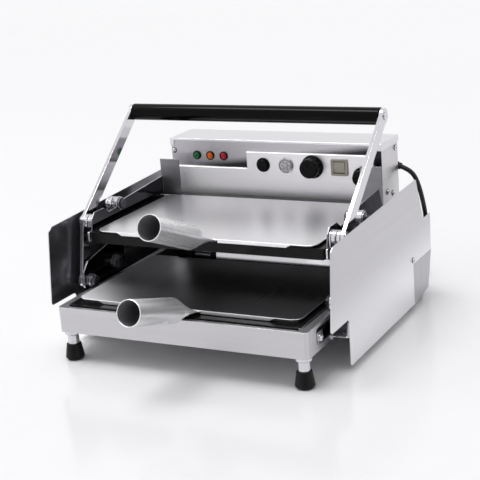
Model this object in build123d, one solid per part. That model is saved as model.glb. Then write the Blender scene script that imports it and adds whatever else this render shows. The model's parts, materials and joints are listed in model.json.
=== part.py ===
from build123d import *
import os
from math import atan2, cos, degrees, hypot, pi, radians, sin, tan

# Double-deck bun toaster. X runs across the machine, Y from the front to the back, Z up.
# While it is drawn, Y = 0 is the apron's front face, and Z = 0 is the counter.
# At the end everything moves back by the same amount, so that the origin is under the
# middle of the machine.

# Sheet and fit sizes
sheet = 1.5
thin_sheet = 1.2
touch_gap = 0.3
running_fit = 0.05
open_pivot_fit = 0.4
seat_gap = 0.1
over_cut = 1.0

# Base
base_width = 430.0
base_depth = 362.0
base_bottom_z = 48.5
base_top_z = 90.0
base_corner_radius = 6.0
top_flange_width = 13.0
top_flange_depth = 8.0
bottom_flange_width = 24.0
cutout_front_y = 33.0
cutout_rear_gap = 5.0
cutout_bottom_z = 58.0
cutout_height = 26.0
cutout_corner_radius = 5.0
slot_length = 60.0
slot_width = 4.0
slot_row_x = 86.0
slot_pitch = 14.0
slot_count = 9

# Feet
foot_inset = 14.0
foot_cup_height = 27.0
foot_cup_top_radius = 11.8
foot_cup_widest_radius = 15.4
foot_flange_radius = 13.0
foot_flange_thickness = 6.0
foot_neck_radius = 9.2
foot_stud_radius = 4.0
foot_stud_length = 8.0
foot_stud_clearance = 3.0
foot_neck_flare = 1.5
foot_cup_bevel = 3.4
foot_cup_widest_z = 4.5
foot_edge = 1.0
rear_foot_inset = 8.0
rear_foot_setback = 26.0
rear_foot_radius = 8.0
rear_foot_neck_radius = 6.0
rear_foot_pad_height = 5.0
rear_foot_neck_z = 6.5

# Lower platen
pan_front_y = 10.0
pan_rear_gap = 12.0
pan_bottom_z = 62.0
pan_top_z = 92.0
pan_side_gap = 2.0
bearer_inset = 45.0
bearer_width = 20.0
pan_bracket_width = 20.0
pan_corner_radius = 3.0
bracket_sheet = 2.0
bracket_inset = 4.0
bracket_screw_rise = 9.0
bracket_screw_profile = ((0, 0), (4.5, 0), (4.2, 1.6), (2.6, 2.8), (0, 3.1))
plate_margin = 10.0
plate_thickness = 7.0
plate_corner_radius = 8.0
stud_inset = 83.0
stud_radius = 5.0
stud_share = 0.35
plate_edge = 0.8
lower_plate_top_z = 96.9
element_radius = 4.0
upper_element_radius = 3.5
element_passes = 4
element_side_margin = 30.0
element_end_margin = 20.0
element_bend_share = 0.42
wiring_inset = 65.0
wiring_gap = 9.0
wiring_width = 31.0
wiring_height = 16.0
wiring_depth = 26.0
wiring_corner_radius = 3.0
wiring_edge = 1.5
conduit_radius = 5.5
conduit_rise = 1.5
conduit_length = 20.0
conduit_rib_count = 5
conduit_rib_width = 2.0
conduit_rib_depth = 0.9

# Bun trays
tray_side_margin = 13.0
tray_depth = 238.0
tray_corner_radius = 16.0
tray_lip_height = 6.0
tray_lip_inset = 40.0
tray_lip_slant = 9.0
tray_front_y = 25.0
tray_reach = 3.0
plate_setback = 6.0
tube_radius = 20.0
tube_length = 157.0
tube_taper_length = 50.0
tube_flat_width = 58.0
tube_flat_thickness = 5.0
tube_wall = 1.5
tongue_length = 4.0
lower_tube_tilt = 17.5
upper_tube_tilt = 22.5

# Upper platen, in the raised place where the photo shows it
platen_rear_gap = 16.5
platen_margin = 6.0
platen_bottom_z = 168.5
casing_height = 16.7
casing_wall = 3.0
casing_corner_radius = 4.0
face_plate_drop = 2.0
deck_rise = 2.8
upper_plate_thickness = 6.0

# Lever geometry: C and D are the fixed pivots on the base, A and B those on the platen
pivot_c_setback = 4.0
pivot_foot_setback = 36.0
pivot_c_z = 102.0
link_lean_y = 20.0
link_rise_z = 95.0
pivot_spacing_y = 76.0
pivot_spacing_z = 10.0
grip_reach_y = 197.6
grip_z = 343.5
grip_radius = 14.0
grip_rod_radius = 10.8
grip_edge = 0.8
grip_bolt_radius = 4.0
grip_bolt_reach = 26.0
grip_bore_depth = 30.0
grip_bolt_head = ((0, 0), (6.5, 0), (6.5, 1.5), (4.5, 3.4), (0, 4))
arm_width = 21.0
arm_thickness = 6.0
arm_end_radius = 13.0
link_width = 20.0
link_thickness = 4.0
link_end_radius = 12.0
pivot_radius = 5.0
collar_radius = 11.0
groove_width = 0.8
groove_depth = 0.6
groove_place = 0.45
washer_radius = 9.0
nut_across_flats = 14.0
nut_height = 5.5
bolt_overhang = 1.0
stop_radius = 6.0
stop_place_along_link = 0.33
stop_stud_radius = 3.0
washer_thickness = 1.2
closed_gap = 30.0

# Where the layers stand, measured sideways from the base's side face
guard_inset = 9.0
guard_thickness = 2.0
bracket_thickness = 3.0
pivot_plate_offset = 4.0
pivot_plate_thickness = 3.0
arm_offset = 11.0
cover_inner_offset = 26.5
cover_thickness = 1.5

# Bun guards
guard_front_setback = 12.0
guard_top_z = 213.5
guard_rear_rise = 7.5
guard_stop_width = 38.0
guard_stop_inset = 4.0
guard_stop_top_z = 252.0
guard_stop_dip = 1.0
guard_notch_setback = 74.0
guard_notch_length = 28.0
guard_notch_depth = 9.5

# Side covers
cover_front_y = 22.0
cover_front_top_y = 36.0
cover_front_top_z = 206.0
cover_top_rear_z = 218.0
cover_wing_top_z = 143.0
cover_bottom_z = 8.0
cover_step_y = 90.0
cover_step_z = 82.0
cover_crease_z = 79.0
cover_wing_bend = 7.0
cover_corner_radius = 5.0
cover_screw_z = 86.0
cover_bracket_depth = 22.0
gusset_lead = 6.0
gusset_height = 25.0
gusset_slope = 3.0
screw_radius = 2.0
screw_length = 8.0
screw_head_profile = ((0, 0), (4.2, 0), (4.0, 1.4), (2.6, 2.4), (0, 2.8))
screw_head_height = 2.8
screw_slot_length = 4.6
screw_slot_width = 1.1

# How far behind the base's back edge the parts of the rear end lie
crease_setback = 12.0
cover_screw_setback = 11.0
cover_top_rear_setback = 38.0
cover_slope_foot_setback = 68.0
cover_rear_setback = 104.0
housing_depth = 99.0
riser_setback = -12.0
box_setback = 3.4
coil_setback = 183.0

# Rear housing
housing_cover_gap = 3.0
housing_taper = 8.5
housing_boss_radius = 6.0
housing_boss_root = 2.0
housing_bottom_z = 20.0
housing_top_z = 141.0
louvre_count = 8
louvre_width = 70.0
louvre_height = 3.5
louvre_pitch = 10.0

# Control box
box_side_inset = 17.0
box_depth = 76.1
box_bottom_z = 220.0
box_top_z = 283.8
lid_flange = 12.0
lid_overhang = 1.5
lid_edge_radius = 1.0
lid_brow = 3.5
lid_side_land = 8.0
box_window_margin = 2.0
box_window_side = 8.0
box_window_top = 4.0
box_vent_width = 40.0
box_vent_height = 3.0
box_vent_pitch_x = 60.0
box_vent_pitch_z = 9.0
box_vent_rows = 3
box_vent_columns = 4
riser_flange = 12.0
riser_foot_setback = 4.0
riser_nose_height = 8.0
riser_shoulder_drop = 40.0
riser_screw_setbacks = (49.0, 24.0)
riser_screw_drops = (30.0, 22.0)
panel_depth = 6.9
panel_bottom_z = 186.0
panel_top_z = 265.0
panel_bottom_inset = 3.0
panel_top_inset = 15.0
panel_notch_reach = 151.0
panel_notch_z = 236.0
panel_edge_radius = 2.0

# Controls: the lamps by their distance from the box's left end, the rest from the panel's right edge
lamp_insets = (51.0, 77.5, 104.0)
lamp_drop = 10.5
lamp_radius = 6.2
lamp_depth = 12.0
lamp_dome_height = 5.4
bezel_radius = 7.9
bezel_height = 2.2
bezel_edge = 0.7
button_distance = 198.0
button_drop = 22.0
button_radius = 9.6
button_bezel_radius = 12.4
button_neck_inset = 2.0
button_sleeve_depth = 8.0
button_switch_depth = 30.0
button_height = 5.6
button_travel = 3.0
buzzer_distance = 155.0
buzzer_drop = 21.5
buzzer_radius = 13.5
buzzer_neck_inset = 3.0
buzzer_depth = 14.0
buzzer_height = 3.0
buzzer_hole_ring = 5.4
buzzer_hole_radius = 1.2
buzzer_hole_count = 6
timer_distance = 106.0
timer_drop = 22.0
timer_radius = 19.8
timer_body_size = (44.0, 30.0, 32.0)
thermostat_distance = 17.0
thermostat_drop = 36.0
thermostat_radius = 16.5
thermostat_body_size = (26.0, 14.0, 30.0)
timer_knob_height = 19.0
thermostat_knob_height = 15.0
knob_gap = 0.8
shaft_radius = 3.0
shaft_reach = 8.0
shaft_clearance = 1.5
knob_skirt = 2.0
knob_skirt_inset = 2.6
knob_grip_inset = 3.4
knob_top_inset = 5.0
knob_flute_count = 12
knob_flute_radius = 2.6
knob_flute_inset = 1.2
knob_groove_width = 1.6
control_body_corner = 3.0
rocker_distance = 57.0
rocker_drop = 21.5
rocker_frame_width = 30.0
rocker_frame_height = 28.0
rocker_frame_rise = 2.6
rocker_frame_corner = 2.0
rocker_neck_inset = 2.7
rocker_neck_depth = 18.0
rocker_well_depth = 9.0
rocker_width = 20.0
rocker_height = 20.0
rocker_tilt = 9.0
rocker_ridge = 3.4
rocker_edge_rise = 1.2
rocker_depth = 3.2
rocker_gap = 0.4
terminal_pitch = 14.0
terminal_count = 6
terminal_depth = 22.0
terminal_height = 14.0
terminal_hole_radius = 3.0
terminal_setback = 22.0
terminal_inset = 48.0

# Cord
cord_diameter = 8.0
gland_rise = 15.0
gland_inset = 40.0
gland_spigot_radius = 8.0
gland_spigot_length = 8.0
elbow_corner_radius = 5.0
elbow_depth = 20.0
boot_length = 26.0
boot_root_depth = 3.0
boot_rib_start = 4.0
boot_tip_land = 6.0
boot_groove_depth = 0.6
boot_root_radius = 8.4
boot_tip_radius = 5.6
boot_rib_count = 5
boot_droop = 20.0
socket_depth = 4.0
cord_lead = 17.0

# The cord's fall: inset from the right cover, setback from the base, share of the gland's height
cord_fall = (
    (20.5, 92.0, 0.902),
    (14.5, 94.0, 0.838),
    (9.5, 99.0, 0.723),
    (7.5, 110.0, 0.562),
    (11.5, 115.0, 0.391),
    (21.5, 118.0, 0.226),
    (30.5, 128.0, 0.102),
)
coil_turns_per_layer = 2
coil_pitch = 10.5
coil_inner_radius = 33.0
coil_layer_step = 8.8
coil_x = 150.0
coil_run_in = 20.0
coil_tail = 40.0
plug_length = 40.0
plug_width = 36.0
plug_height = 25.0
plug_relief_radius = 7.5
plug_relief_length = 20.0
plug_relief_wall = 1.0
plug_groove_wall = 0.6
plug_groove_count = 4
plug_edge = 1.5
plug_pin_pitch = 19.0
plug_pin_radius = 2.4
plug_pin_length = 19.0

half_base = base_width / 2
rear_foot_y = base_depth + rear_foot_setback
box_half_width = half_base - box_side_inset
cover_crease_y = base_depth + crease_setback
cover_screw_y = base_depth + cover_screw_setback
cover_top_rear_y = base_depth + cover_top_rear_setback
cover_slope_foot_y = base_depth + cover_slope_foot_setback
cover_rear_y = base_depth + cover_rear_setback
housing_rear_y = base_depth + housing_depth
riser_front_y = base_depth + riser_setback
box_front_y = base_depth + box_setback
box_rear_y = box_front_y + box_depth
panel_front_y = box_front_y - panel_depth
panel_bottom_half_width = box_half_width - panel_bottom_inset
panel_top_half_width = box_half_width - panel_top_inset
pan_depth = base_depth - pan_front_y - pan_rear_gap
plate_depth = tray_depth - plate_margin
wiring_y = tray_front_y + tray_depth + wiring_gap
platen_depth = tray_depth + platen_margin
platen_width = base_width - 2 * guard_inset
tray_width = platen_width - 2 * tray_side_margin
plate_width = tray_width - plate_margin
tray_lip_width = tray_width - 2 * tray_lip_inset
wiring_x = wiring_inset - half_base
platen_front_y = panel_front_y - platen_rear_gap - platen_depth
pivot_c_y = platen_front_y + pivot_c_setback
pivot_foot_y = pivot_c_y + pivot_foot_setback
cutout_length = pivot_foot_y - cutout_rear_gap - cutout_front_y
grip_y = pivot_c_y + grip_reach_y
guard_front_y = platen_front_y + guard_front_setback
guard_notch_y = platen_front_y + guard_notch_setback
guard_stop_y = platen_front_y + platen_depth - guard_stop_inset
coil_y = base_depth + coil_setback
panel_notch_x = panel_notch_reach - box_half_width
lamp_xs = [inset - box_half_width for inset in lamp_insets]
lamp_z = panel_top_z - lamp_drop
button_x = panel_top_half_width - button_distance
button_z = panel_top_z - button_drop
buzzer_x = panel_top_half_width - buzzer_distance
buzzer_z = panel_top_z - buzzer_drop
timer_x = panel_top_half_width - timer_distance
timer_z = panel_top_z - timer_drop
thermostat_x = panel_top_half_width - thermostat_distance
thermostat_z = panel_top_z - thermostat_drop
rocker_x = panel_top_half_width - rocker_distance
rocker_z = panel_top_z - rocker_drop
gland_x = box_half_width - gland_inset
gland_z = box_bottom_z + gland_rise

guard_out_x = half_base - guard_inset + guard_thickness
bracket_out_x = guard_out_x + bracket_thickness
pivot_plate_x = half_base + pivot_plate_offset
pivot_plate_out_x = pivot_plate_x + pivot_plate_thickness
arm_x = half_base + arm_offset
cover_x = half_base + cover_inner_offset
housing_front_half_width = cover_x - housing_cover_gap
housing_rear_half_width = housing_front_half_width - housing_taper
rear_foot_x = housing_front_half_width - rear_foot_inset
pivot_a_y = pivot_c_y + link_lean_y
pivot_a_z = pivot_c_z + link_rise_z
pivot_d_y = pivot_c_y + pivot_spacing_y
pivot_d_z = pivot_c_z + pivot_spacing_z
pivot_b_y = pivot_a_y + pivot_spacing_y
pivot_b_z = pivot_a_z + pivot_spacing_z
casing_top_z = platen_bottom_z + casing_height
face_plate_bottom_z = platen_bottom_z - face_plate_drop
deck_top_z = casing_top_z + deck_rise
lower_tray_z = lower_plate_top_z + touch_gap
upper_tray_z = deck_top_z + touch_gap
upper_tray_front_y = platen_front_y - tray_reach
lower_plate_front_y = tray_front_y + plate_setback
upper_plate_front_y = upper_tray_front_y + plate_setback
link_length = hypot(link_lean_y, link_rise_z)
rest_lean = degrees(atan2(link_lean_y, link_rise_z))
platen_drop = face_plate_bottom_z - (lower_tray_z + sheet) - closed_gap
closed_rise = link_rise_z - platen_drop
closed_lean = degrees(atan2((link_length**2 - closed_rise**2) ** 0.5, closed_rise))
handle_swing = rest_lean + closed_lean

ground_up = (Align.CENTER, Align.CENTER, Align.MIN)


def block(x_low, x_high, y_low, y_high, z_low, z_high):
    """A box between six named faces."""
    size = Box(x_high - x_low, y_high - y_low, z_high - z_low, align=(Align.MIN, Align.MIN, Align.MIN))
    return Pos(x_low, y_low, z_low) * size


def slab(width, depth, height, radius, y_front, z_bottom):
    """A block centred on X with rounded upright corners."""
    outline = RectangleRounded(width, depth, radius)
    return Pos(0, y_front + depth / 2, z_bottom) * extrude(outline, height)


def side_sheet(outline, x_inner, thickness):
    """A sheet or bar that stands in a Y-Z plane, from an outline of (Y, Z)."""
    return extrude(Plane.YZ.offset(x_inner) * outline, thickness)


def outline_of(points, radius=0.0):
    """A closed outline, with its corners rounded where a radius is given."""
    flat = make_face(Polyline(*points, close=True))
    if radius:
        flat = fillet(flat.vertices(), radius)
    return flat


def along_x(solid, y, z, x_start):
    """Stands a piece made along +Z out along +X."""
    return Plane((x_start, y, z), x_dir=(0, 1, 0), z_dir=(1, 0, 0)).location * solid


def facing_front(solid, x, y, z):
    """Turns a piece made along +Z so that it points out of the front."""
    return Plane((x, y, z), x_dir=(1, 0, 0), z_dir=(0, -1, 0)).location * solid


def turned(profile):
    """A turned piece about Z, from (radius, height) points."""
    return revolve(make_face(Plane.XZ * Polyline(*profile, close=True)), Axis.Z)


def rod(radius, height):
    return Cylinder(radius, height, align=ground_up)


def hexagon(across_flats, height):
    return extrude(RegularPolygon(across_flats / 2, 6, major_radius=False), height)


def both_sides(solid):
    """The right-hand piece and its mirror image."""
    return [solid, mirror(solid, Plane.YZ)]


def left_of(solid):
    return mirror(solid, Plane.YZ)


# Base frame: one folded sheet, a channel all round, with cut-outs in its sides
def make_base_frame():
    height = base_top_z - base_bottom_z
    frame = slab(base_width, base_depth, height, base_corner_radius, 0, base_bottom_z)
    inner_radius = base_corner_radius - sheet
    frame -= slab(
        base_width - 2 * sheet,
        base_depth - 2 * sheet,
        height - 2 * sheet,
        inner_radius,
        sheet,
        base_bottom_z + sheet,
    )
    for side, end, z_low in (
        (top_flange_width, top_flange_depth, base_top_z - sheet),
        (bottom_flange_width, bottom_flange_width, base_bottom_z),
    ):
        top_z = z_low + sheet + over_cut
        frame -= block(side - half_base, half_base - side, end, base_depth - end, z_low - over_cut, top_z)
    window = RectangleRounded(cutout_length, cutout_height, cutout_corner_radius)
    place = Pos(cutout_front_y + cutout_length / 2, cutout_bottom_z + cutout_height / 2)
    frame -= extrude(Plane.YZ.offset(-base_width) * place * window, 2 * base_width)
    for x in (-half_base + foot_inset, half_base - foot_inset):
        hole = rod(foot_stud_radius + seat_gap, sheet + 2 * over_cut)
        frame -= Pos(x, foot_inset, base_bottom_z - over_cut) * hole
    return frame


def make_bottom_cover():
    margin = sheet + touch_gap
    cover = slab(
        base_width - 2 * margin,
        base_depth - 2 * margin,
        thin_sheet,
        base_corner_radius - sheet,
        margin,
        base_bottom_z + sheet,
    )
    slot = SlotOverall(slot_length, slot_width)
    cut_height = sheet + thin_sheet + over_cut
    for row in (-1, 1):
        for index in range(slot_count):
            y = base_depth / 2 + (index - (slot_count - 1) / 2) * slot_pitch
            cover -= Pos(row * slot_row_x, y, base_bottom_z) * extrude(slot, cut_height)
    for x in (-half_base + foot_inset, half_base - foot_inset):
        cover -= Pos(x, foot_inset, base_bottom_z) * rod(foot_stud_radius + foot_stud_clearance, cut_height)
    return cover


def make_front_foot_stems():
    flange_z = base_bottom_z - foot_flange_thickness
    stem = turned(
        [
            (0, foot_cup_height),
            (foot_neck_radius, foot_cup_height),
            (foot_neck_radius, flange_z - foot_neck_flare),
            (foot_neck_radius + foot_neck_flare, flange_z),
            (foot_flange_radius, flange_z + foot_edge),
            (foot_flange_radius, base_bottom_z),
            (foot_stud_radius, base_bottom_z),
            (foot_stud_radius, base_bottom_z + foot_stud_length),
            (0, base_bottom_z + foot_stud_length),
        ]
    )
    return [Pos(x, foot_inset, 0) * stem for x in (-half_base + foot_inset, half_base - foot_inset)]


def make_rubber_feet():
    cup = turned(
        [
            (0, 0),
            (foot_cup_widest_radius - foot_cup_bevel, 0),
            (foot_cup_widest_radius, foot_cup_widest_z),
            (foot_cup_top_radius, foot_cup_height - foot_edge),
            (foot_cup_top_radius - foot_edge, foot_cup_height),
            (0, foot_cup_height),
        ]
    )
    return [Pos(x, foot_inset, 0) * cup for x in (-half_base + foot_inset, half_base - foot_inset)]


def make_rear_feet():
    foot = turned(
        [
            (0, 0),
            (rear_foot_radius - foot_edge, 0),
            (rear_foot_radius, foot_edge),
            (rear_foot_radius, rear_foot_pad_height),
            (rear_foot_neck_radius, rear_foot_neck_z),
            (rear_foot_neck_radius, housing_bottom_z),
            (0, housing_bottom_z),
        ]
    )
    return both_sides(Pos(rear_foot_x, rear_foot_y, 0) * foot)


# Lower platen: a folded pan whose bright rim shows beside the tray, and the plate it carries
def make_lower_platen_pan():
    width = base_width - 2 * top_flange_width - 2 * pan_side_gap
    height = pan_top_z - pan_bottom_z
    pan = slab(width, pan_depth, height, pan_corner_radius, pan_front_y, pan_bottom_z)
    pan -= slab(
        width - 2 * thin_sheet,
        pan_depth - 2 * thin_sheet,
        height - 2 * thin_sheet,
        pan_corner_radius - thin_sheet,
        pan_front_y + thin_sheet,
        pan_bottom_z + thin_sheet,
    )
    half = plate_width / 2 + touch_gap
    front = lower_plate_front_y
    rear = front + plate_depth + touch_gap
    low_z = pan_top_z - thin_sheet - over_cut
    return pan - block(-half, half, front - touch_gap, rear, low_z, pan_top_z + over_cut)


def make_pan_bearers():
    """Two hat-section bars that carry the pan on the bottom of the base."""
    width = base_width - 2 * top_flange_width - 2 * pan_side_gap
    low_z = base_bottom_z + sheet + thin_sheet
    bars = []
    for y in (pan_front_y + bearer_inset, pan_front_y + pan_depth - bearer_inset - bearer_width):
        bar = block(-width / 2, width / 2, y, y + bearer_width, low_z, pan_bottom_z)
        groove = block(
            -width, width, y + sheet, y + bearer_width - sheet, low_z - over_cut, pan_bottom_z - sheet
        )
        bars.append(bar - groove)
    return bars


def make_pan_brackets():
    """Cranked strips in the side cut-outs, screwed to the sides of the pan."""
    pan_side_x = half_base - top_flange_width - pan_side_gap
    outer_x = pan_side_x + bracket_sheet
    y_low = cutout_front_y + bracket_inset
    y_high = y_low + pan_bracket_width
    shelf_z = cutout_bottom_z - bracket_inset
    top_z = cutout_bottom_z + cutout_height - bracket_inset
    bracket = block(pan_side_x, outer_x, y_low, y_high, shelf_z, top_z)
    bracket += block(pan_side_x, half_base - sheet, y_low, y_high, shelf_z, shelf_z + bracket_sheet)
    middle_y = (y_low + y_high) / 2
    screw_z = pan_bottom_z + bracket_screw_rise
    return both_sides(bracket + along_x(turned(bracket_screw_profile), middle_y, screw_z, outer_x))


def make_wiring_cover():
    """Black block behind the lower tray, where the wires leave the base."""
    rear_y = wiring_y + wiring_depth
    top_z = pan_top_z + wiring_height
    body = block(wiring_x, wiring_x + wiring_width, wiring_y, rear_y, pan_top_z, top_z)
    body = fillet(body.edges().filter_by(Axis.Z), wiring_corner_radius)
    return chamfer(body.faces().sort_by(Axis.Z)[-1].outer_wire().edges(), wiring_edge)


def make_wiring_conduit():
    """Ribbed metal hose that leaves the block and turns down into the base."""
    y = wiring_y + wiring_depth / 2
    z = pan_top_z + conduit_radius + conduit_rise
    start_x = wiring_x + wiring_width
    hose = along_x(rod(conduit_radius - conduit_rib_depth, conduit_length), y, z, start_x)
    pitch = conduit_length / conduit_rib_count
    for index in range(conduit_rib_count):
        rib_x = start_x + index * pitch + conduit_rib_width / 2
        hose += along_x(rod(conduit_radius, conduit_rib_width), y, z, rib_x)
    sleeve = rod(conduit_radius, z + conduit_radius - pan_top_z)
    return hose + Pos(start_x + conduit_length + pitch, y, pan_top_z) * sleeve


def make_hot_plate(thickness, y_front, z_top, floor_z):
    """A flat plate on four studs that stand on whatever lies under it."""
    plate = slab(plate_width, plate_depth, thickness, plate_corner_radius, y_front, z_top - thickness)
    plate = chamfer(plate.edges().group_by(Axis.Z)[-1], plate_edge)
    stud = rod(stud_radius, z_top - thickness - floor_z)
    for x in (-plate_width / 2 + stud_inset, plate_width / 2 - stud_inset):
        for y in (y_front + plate_depth * stud_share, y_front + plate_depth * (1 - stud_share)):
            plate += Pos(x, y, floor_z) * stud
    return plate


def make_heating_element(y_front, y_rear, z, radius, passes):
    """One tube bent to and fro under a plate, both ends at the rear."""
    pitch = (plate_width - 2 * element_side_margin) / (passes - 1)
    path_points = []
    for index in range(passes):
        x = -pitch * (passes - 1) / 2 + index * pitch
        ends = [(x, y_rear, z), (x, y_front, z)]
        path_points += ends if index % 2 == 0 else ends[::-1]
    path = FilletPolyline(*path_points, radius=pitch * element_bend_share)
    start = Plane(path @ 0, z_dir=path % 0)
    return sweep(start * Circle(radius), path)


# Pivot plates: each stands on the base side and carries two fixed pivots
def make_pivot_plate():
    stop_y, stop_z = link_stop_place()
    foot_y = pivot_foot_y
    foot_z = cutout_bottom_z + 6
    points = [
        (pivot_c_y - 16, pivot_c_z - 11),
        (pivot_c_y - 15, pivot_c_z + 16),
        (pivot_c_y, pivot_c_z + 32),
        (pivot_d_y + 4, stop_z + 9),
        (stop_y + 10, stop_z + 9),
        (stop_y + 12, pivot_d_z - 6),
        (pivot_d_y + 30, foot_z),
        (foot_y, foot_z),
        (foot_y - 12, pivot_c_z - 12),
    ]
    plate = side_sheet(outline_of(points, 5), pivot_plate_x, pivot_plate_thickness)
    for y, z in ((pivot_c_y, pivot_c_z), (pivot_d_y, pivot_d_z)):
        plate -= pivot_bore(y, z)
    for y in (foot_y + 12, pivot_d_y + 18):
        plate += along_x(rod(6, pivot_plate_offset), y, foot_z + 10, half_base)
    return plate - along_x(rod(stop_stud_radius, 2 * half_base), stop_y, stop_z, 0)


def pivot_bore(y, z, fit=running_fit):
    """The hole for a pivot bolt through whatever stands beside the base on the right."""
    return along_x(rod(pivot_radius + fit, 2 * half_base), y, z, 0)


def link_stop_place():
    """The rubber stop touches the rear link's back edge a little way up it."""
    reach = link_width / 2 + stop_radius + touch_gap
    along_y = link_lean_y / link_length
    along_z = link_rise_z / link_length
    y = pivot_d_y + stop_place_along_link * link_lean_y + reach * along_z
    z = pivot_d_z + stop_place_along_link * link_rise_z - reach * along_y
    return y, z


def make_link_stops():
    y, z = link_stop_place()
    reach = arm_x + link_thickness - pivot_plate_out_x
    pad = along_x(rod(stop_radius, reach), y, z, pivot_plate_out_x)
    pad += along_x(rod(stop_stud_radius - seat_gap, pivot_plate_thickness), y, z, pivot_plate_x)
    return both_sides(pad)


def make_base_pivot_bolts():
    bolts = []
    for y, z, thickness in (
        (pivot_c_y, pivot_c_z, arm_thickness),
        (pivot_d_y, pivot_d_z, link_thickness),
    ):
        head_x = pivot_plate_x - nut_height
        bolt = along_x(hexagon(nut_across_flats, nut_height), y, z, head_x)
        reach = arm_x + thickness + nut_height + bolt_overhang - pivot_plate_x
        bolt += along_x(rod(pivot_radius, reach), y, z, pivot_plate_x)
        collar = arm_x - seat_gap - pivot_plate_out_x
        bolt += along_x(rod(washer_radius, collar), y, z, pivot_plate_out_x)
        bolts += both_sides(bolt)
    return bolts


def pivot_nut(y, z, x_start):
    nut = along_x(hexagon(nut_across_flats, nut_height), y, z, x_start)
    nut += along_x(rod(washer_radius, washer_thickness), y, z, x_start)
    return nut - pivot_bore(y, z)


def make_base_pivot_nuts():
    nuts = []
    for y, z, thickness in (
        (pivot_c_y, pivot_c_z, arm_thickness),
        (pivot_d_y, pivot_d_z, link_thickness),
    ):
        nuts += both_sides(pivot_nut(y, z, arm_x + thickness + seat_gap))
    return nuts


# Lever: two cranked flat bars joined by the grip, and the links behind them
def bar_outline(points, width, end_radius):
    """A flat bar along a line of points, with round ends."""
    bar = Sketch()
    for (y_0, z_0), (y_1, z_1) in zip(points, points[1:]):
        length = hypot(y_1 - y_0, z_1 - z_0)
        angle = degrees(atan2(z_1 - z_0, y_1 - y_0))
        middle = ((y_0 + y_1) / 2, (z_0 + z_1) / 2)
        bar += Pos(*middle) * Rot(0, 0, angle) * Rectangle(length, width)
    for y, z in points[1:-1]:
        bar += Pos(y, z) * Circle(width / 2)
    for y, z in (points[0], points[-1]):
        bar += Pos(y, z) * Circle(end_radius)
    return bar


def make_arm():
    points = [(pivot_c_y, pivot_c_z), (pivot_a_y, pivot_a_z), (grip_y, grip_z)]
    arm = side_sheet(bar_outline(points, arm_width, arm_end_radius), arm_x, arm_thickness)
    for y, z in points[:2]:
        arm -= pivot_bore(y, z)
    return arm - along_x(rod(grip_bolt_radius + seat_gap, 2 * half_base), grip_y, grip_z, 0)


def make_rear_link():
    points = [(pivot_d_y, pivot_d_z), (pivot_b_y, pivot_b_z)]
    link = side_sheet(bar_outline(points, link_width, link_end_radius), arm_x, link_thickness)
    link -= pivot_bore(pivot_d_y, pivot_d_z)
    return link - pivot_bore(pivot_b_y, pivot_b_z, open_pivot_fit)


def make_grip_sleeve():
    length = 2 * (arm_x - touch_gap)
    sleeve = rod(grip_radius, length) - rod(grip_rod_radius + seat_gap, length)
    sleeve = chamfer(sleeve.edges().filter_by(GeomType.CIRCLE).group_by(SortBy.RADIUS)[-1], grip_edge)
    return along_x(sleeve, grip_y, grip_z, -arm_x + touch_gap)


def make_grip_rod():
    length = 2 * arm_x
    core = rod(grip_rod_radius, length)
    for z in (0, length - grip_bore_depth):
        core -= Pos(0, 0, z) * rod(grip_bolt_radius + seat_gap, grip_bore_depth)
    return along_x(core, grip_y, grip_z, -arm_x)


def make_grip_bolts():
    length = arm_thickness + grip_bolt_reach
    bolt = rod(grip_bolt_radius, length) + Pos(0, 0, length) * turned(grip_bolt_head)
    return both_sides(along_x(bolt, grip_y, grip_z, arm_x - grip_bolt_reach))


# Upper platen: black casing with a plate facing up and one facing down
def make_upper_platen_casing():
    casing = slab(
        platen_width, platen_depth, casing_height, casing_corner_radius, platen_front_y, platen_bottom_z
    )
    casing = chamfer(casing.faces().sort_by(Axis.Z)[-1].outer_wire().edges(), plate_edge)
    casing -= slab(
        platen_width - 2 * casing_wall,
        platen_depth - 2 * casing_wall,
        casing_height - casing_wall,
        casing_corner_radius - 1,
        platen_front_y + casing_wall,
        platen_bottom_z,
    )
    half = plate_width / 2 + touch_gap
    front = upper_plate_front_y
    rear = front + plate_depth + touch_gap
    low_z = casing_top_z - casing_wall - over_cut
    return casing - block(-half, half, front - touch_gap, rear, low_z, casing_top_z + over_cut)


def make_upper_face_plate():
    margin = casing_wall + touch_gap
    return slab(
        platen_width - 2 * margin,
        platen_depth - 2 * margin,
        upper_plate_thickness,
        casing_corner_radius - 1,
        platen_front_y + margin,
        face_plate_bottom_z,
    )


def make_platen_bracket():
    low_z = platen_bottom_z
    bar = outline_of(
        [
            (pivot_a_y - 24, low_z),
            (pivot_b_y + 26, low_z),
            (pivot_b_y + 26, casing_top_z),
            (pivot_a_y - 24, casing_top_z),
        ],
        3,
    )
    for y, z in ((pivot_a_y, pivot_a_z), (pivot_b_y, pivot_b_z)):
        bar += Pos(y, z) * Circle(link_end_radius)
        bar += Pos(y, (z + low_z + 4) / 2) * Rectangle(2 * link_end_radius, z - low_z - 4)
    bracket = side_sheet(bar, guard_out_x, bracket_thickness)
    for y, z in ((pivot_a_y, pivot_a_z), (pivot_b_y, pivot_b_z)):
        bracket -= pivot_bore(y, z)
    return bracket


def make_platen_pivot_bolts():
    bolts = []
    for y, z, thickness in (
        (pivot_a_y, pivot_a_z, arm_thickness),
        (pivot_b_y, pivot_b_z, link_thickness),
    ):
        reach = arm_x + thickness + nut_height + bolt_overhang - guard_out_x - seat_gap
        bolt = along_x(rod(pivot_radius, reach), y, z, guard_out_x + seat_gap)
        collar = arm_x - seat_gap - bracket_out_x
        bolt += along_x(rod(collar_radius, collar), y, z, bracket_out_x)
        ring = rod(collar_radius + over_cut, groove_width) - rod(collar_radius - groove_depth, groove_width)
        groove_x = bracket_out_x + collar * groove_place
        bolts += both_sides(bolt - along_x(ring, y, z, groove_x))
    return bolts


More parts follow.
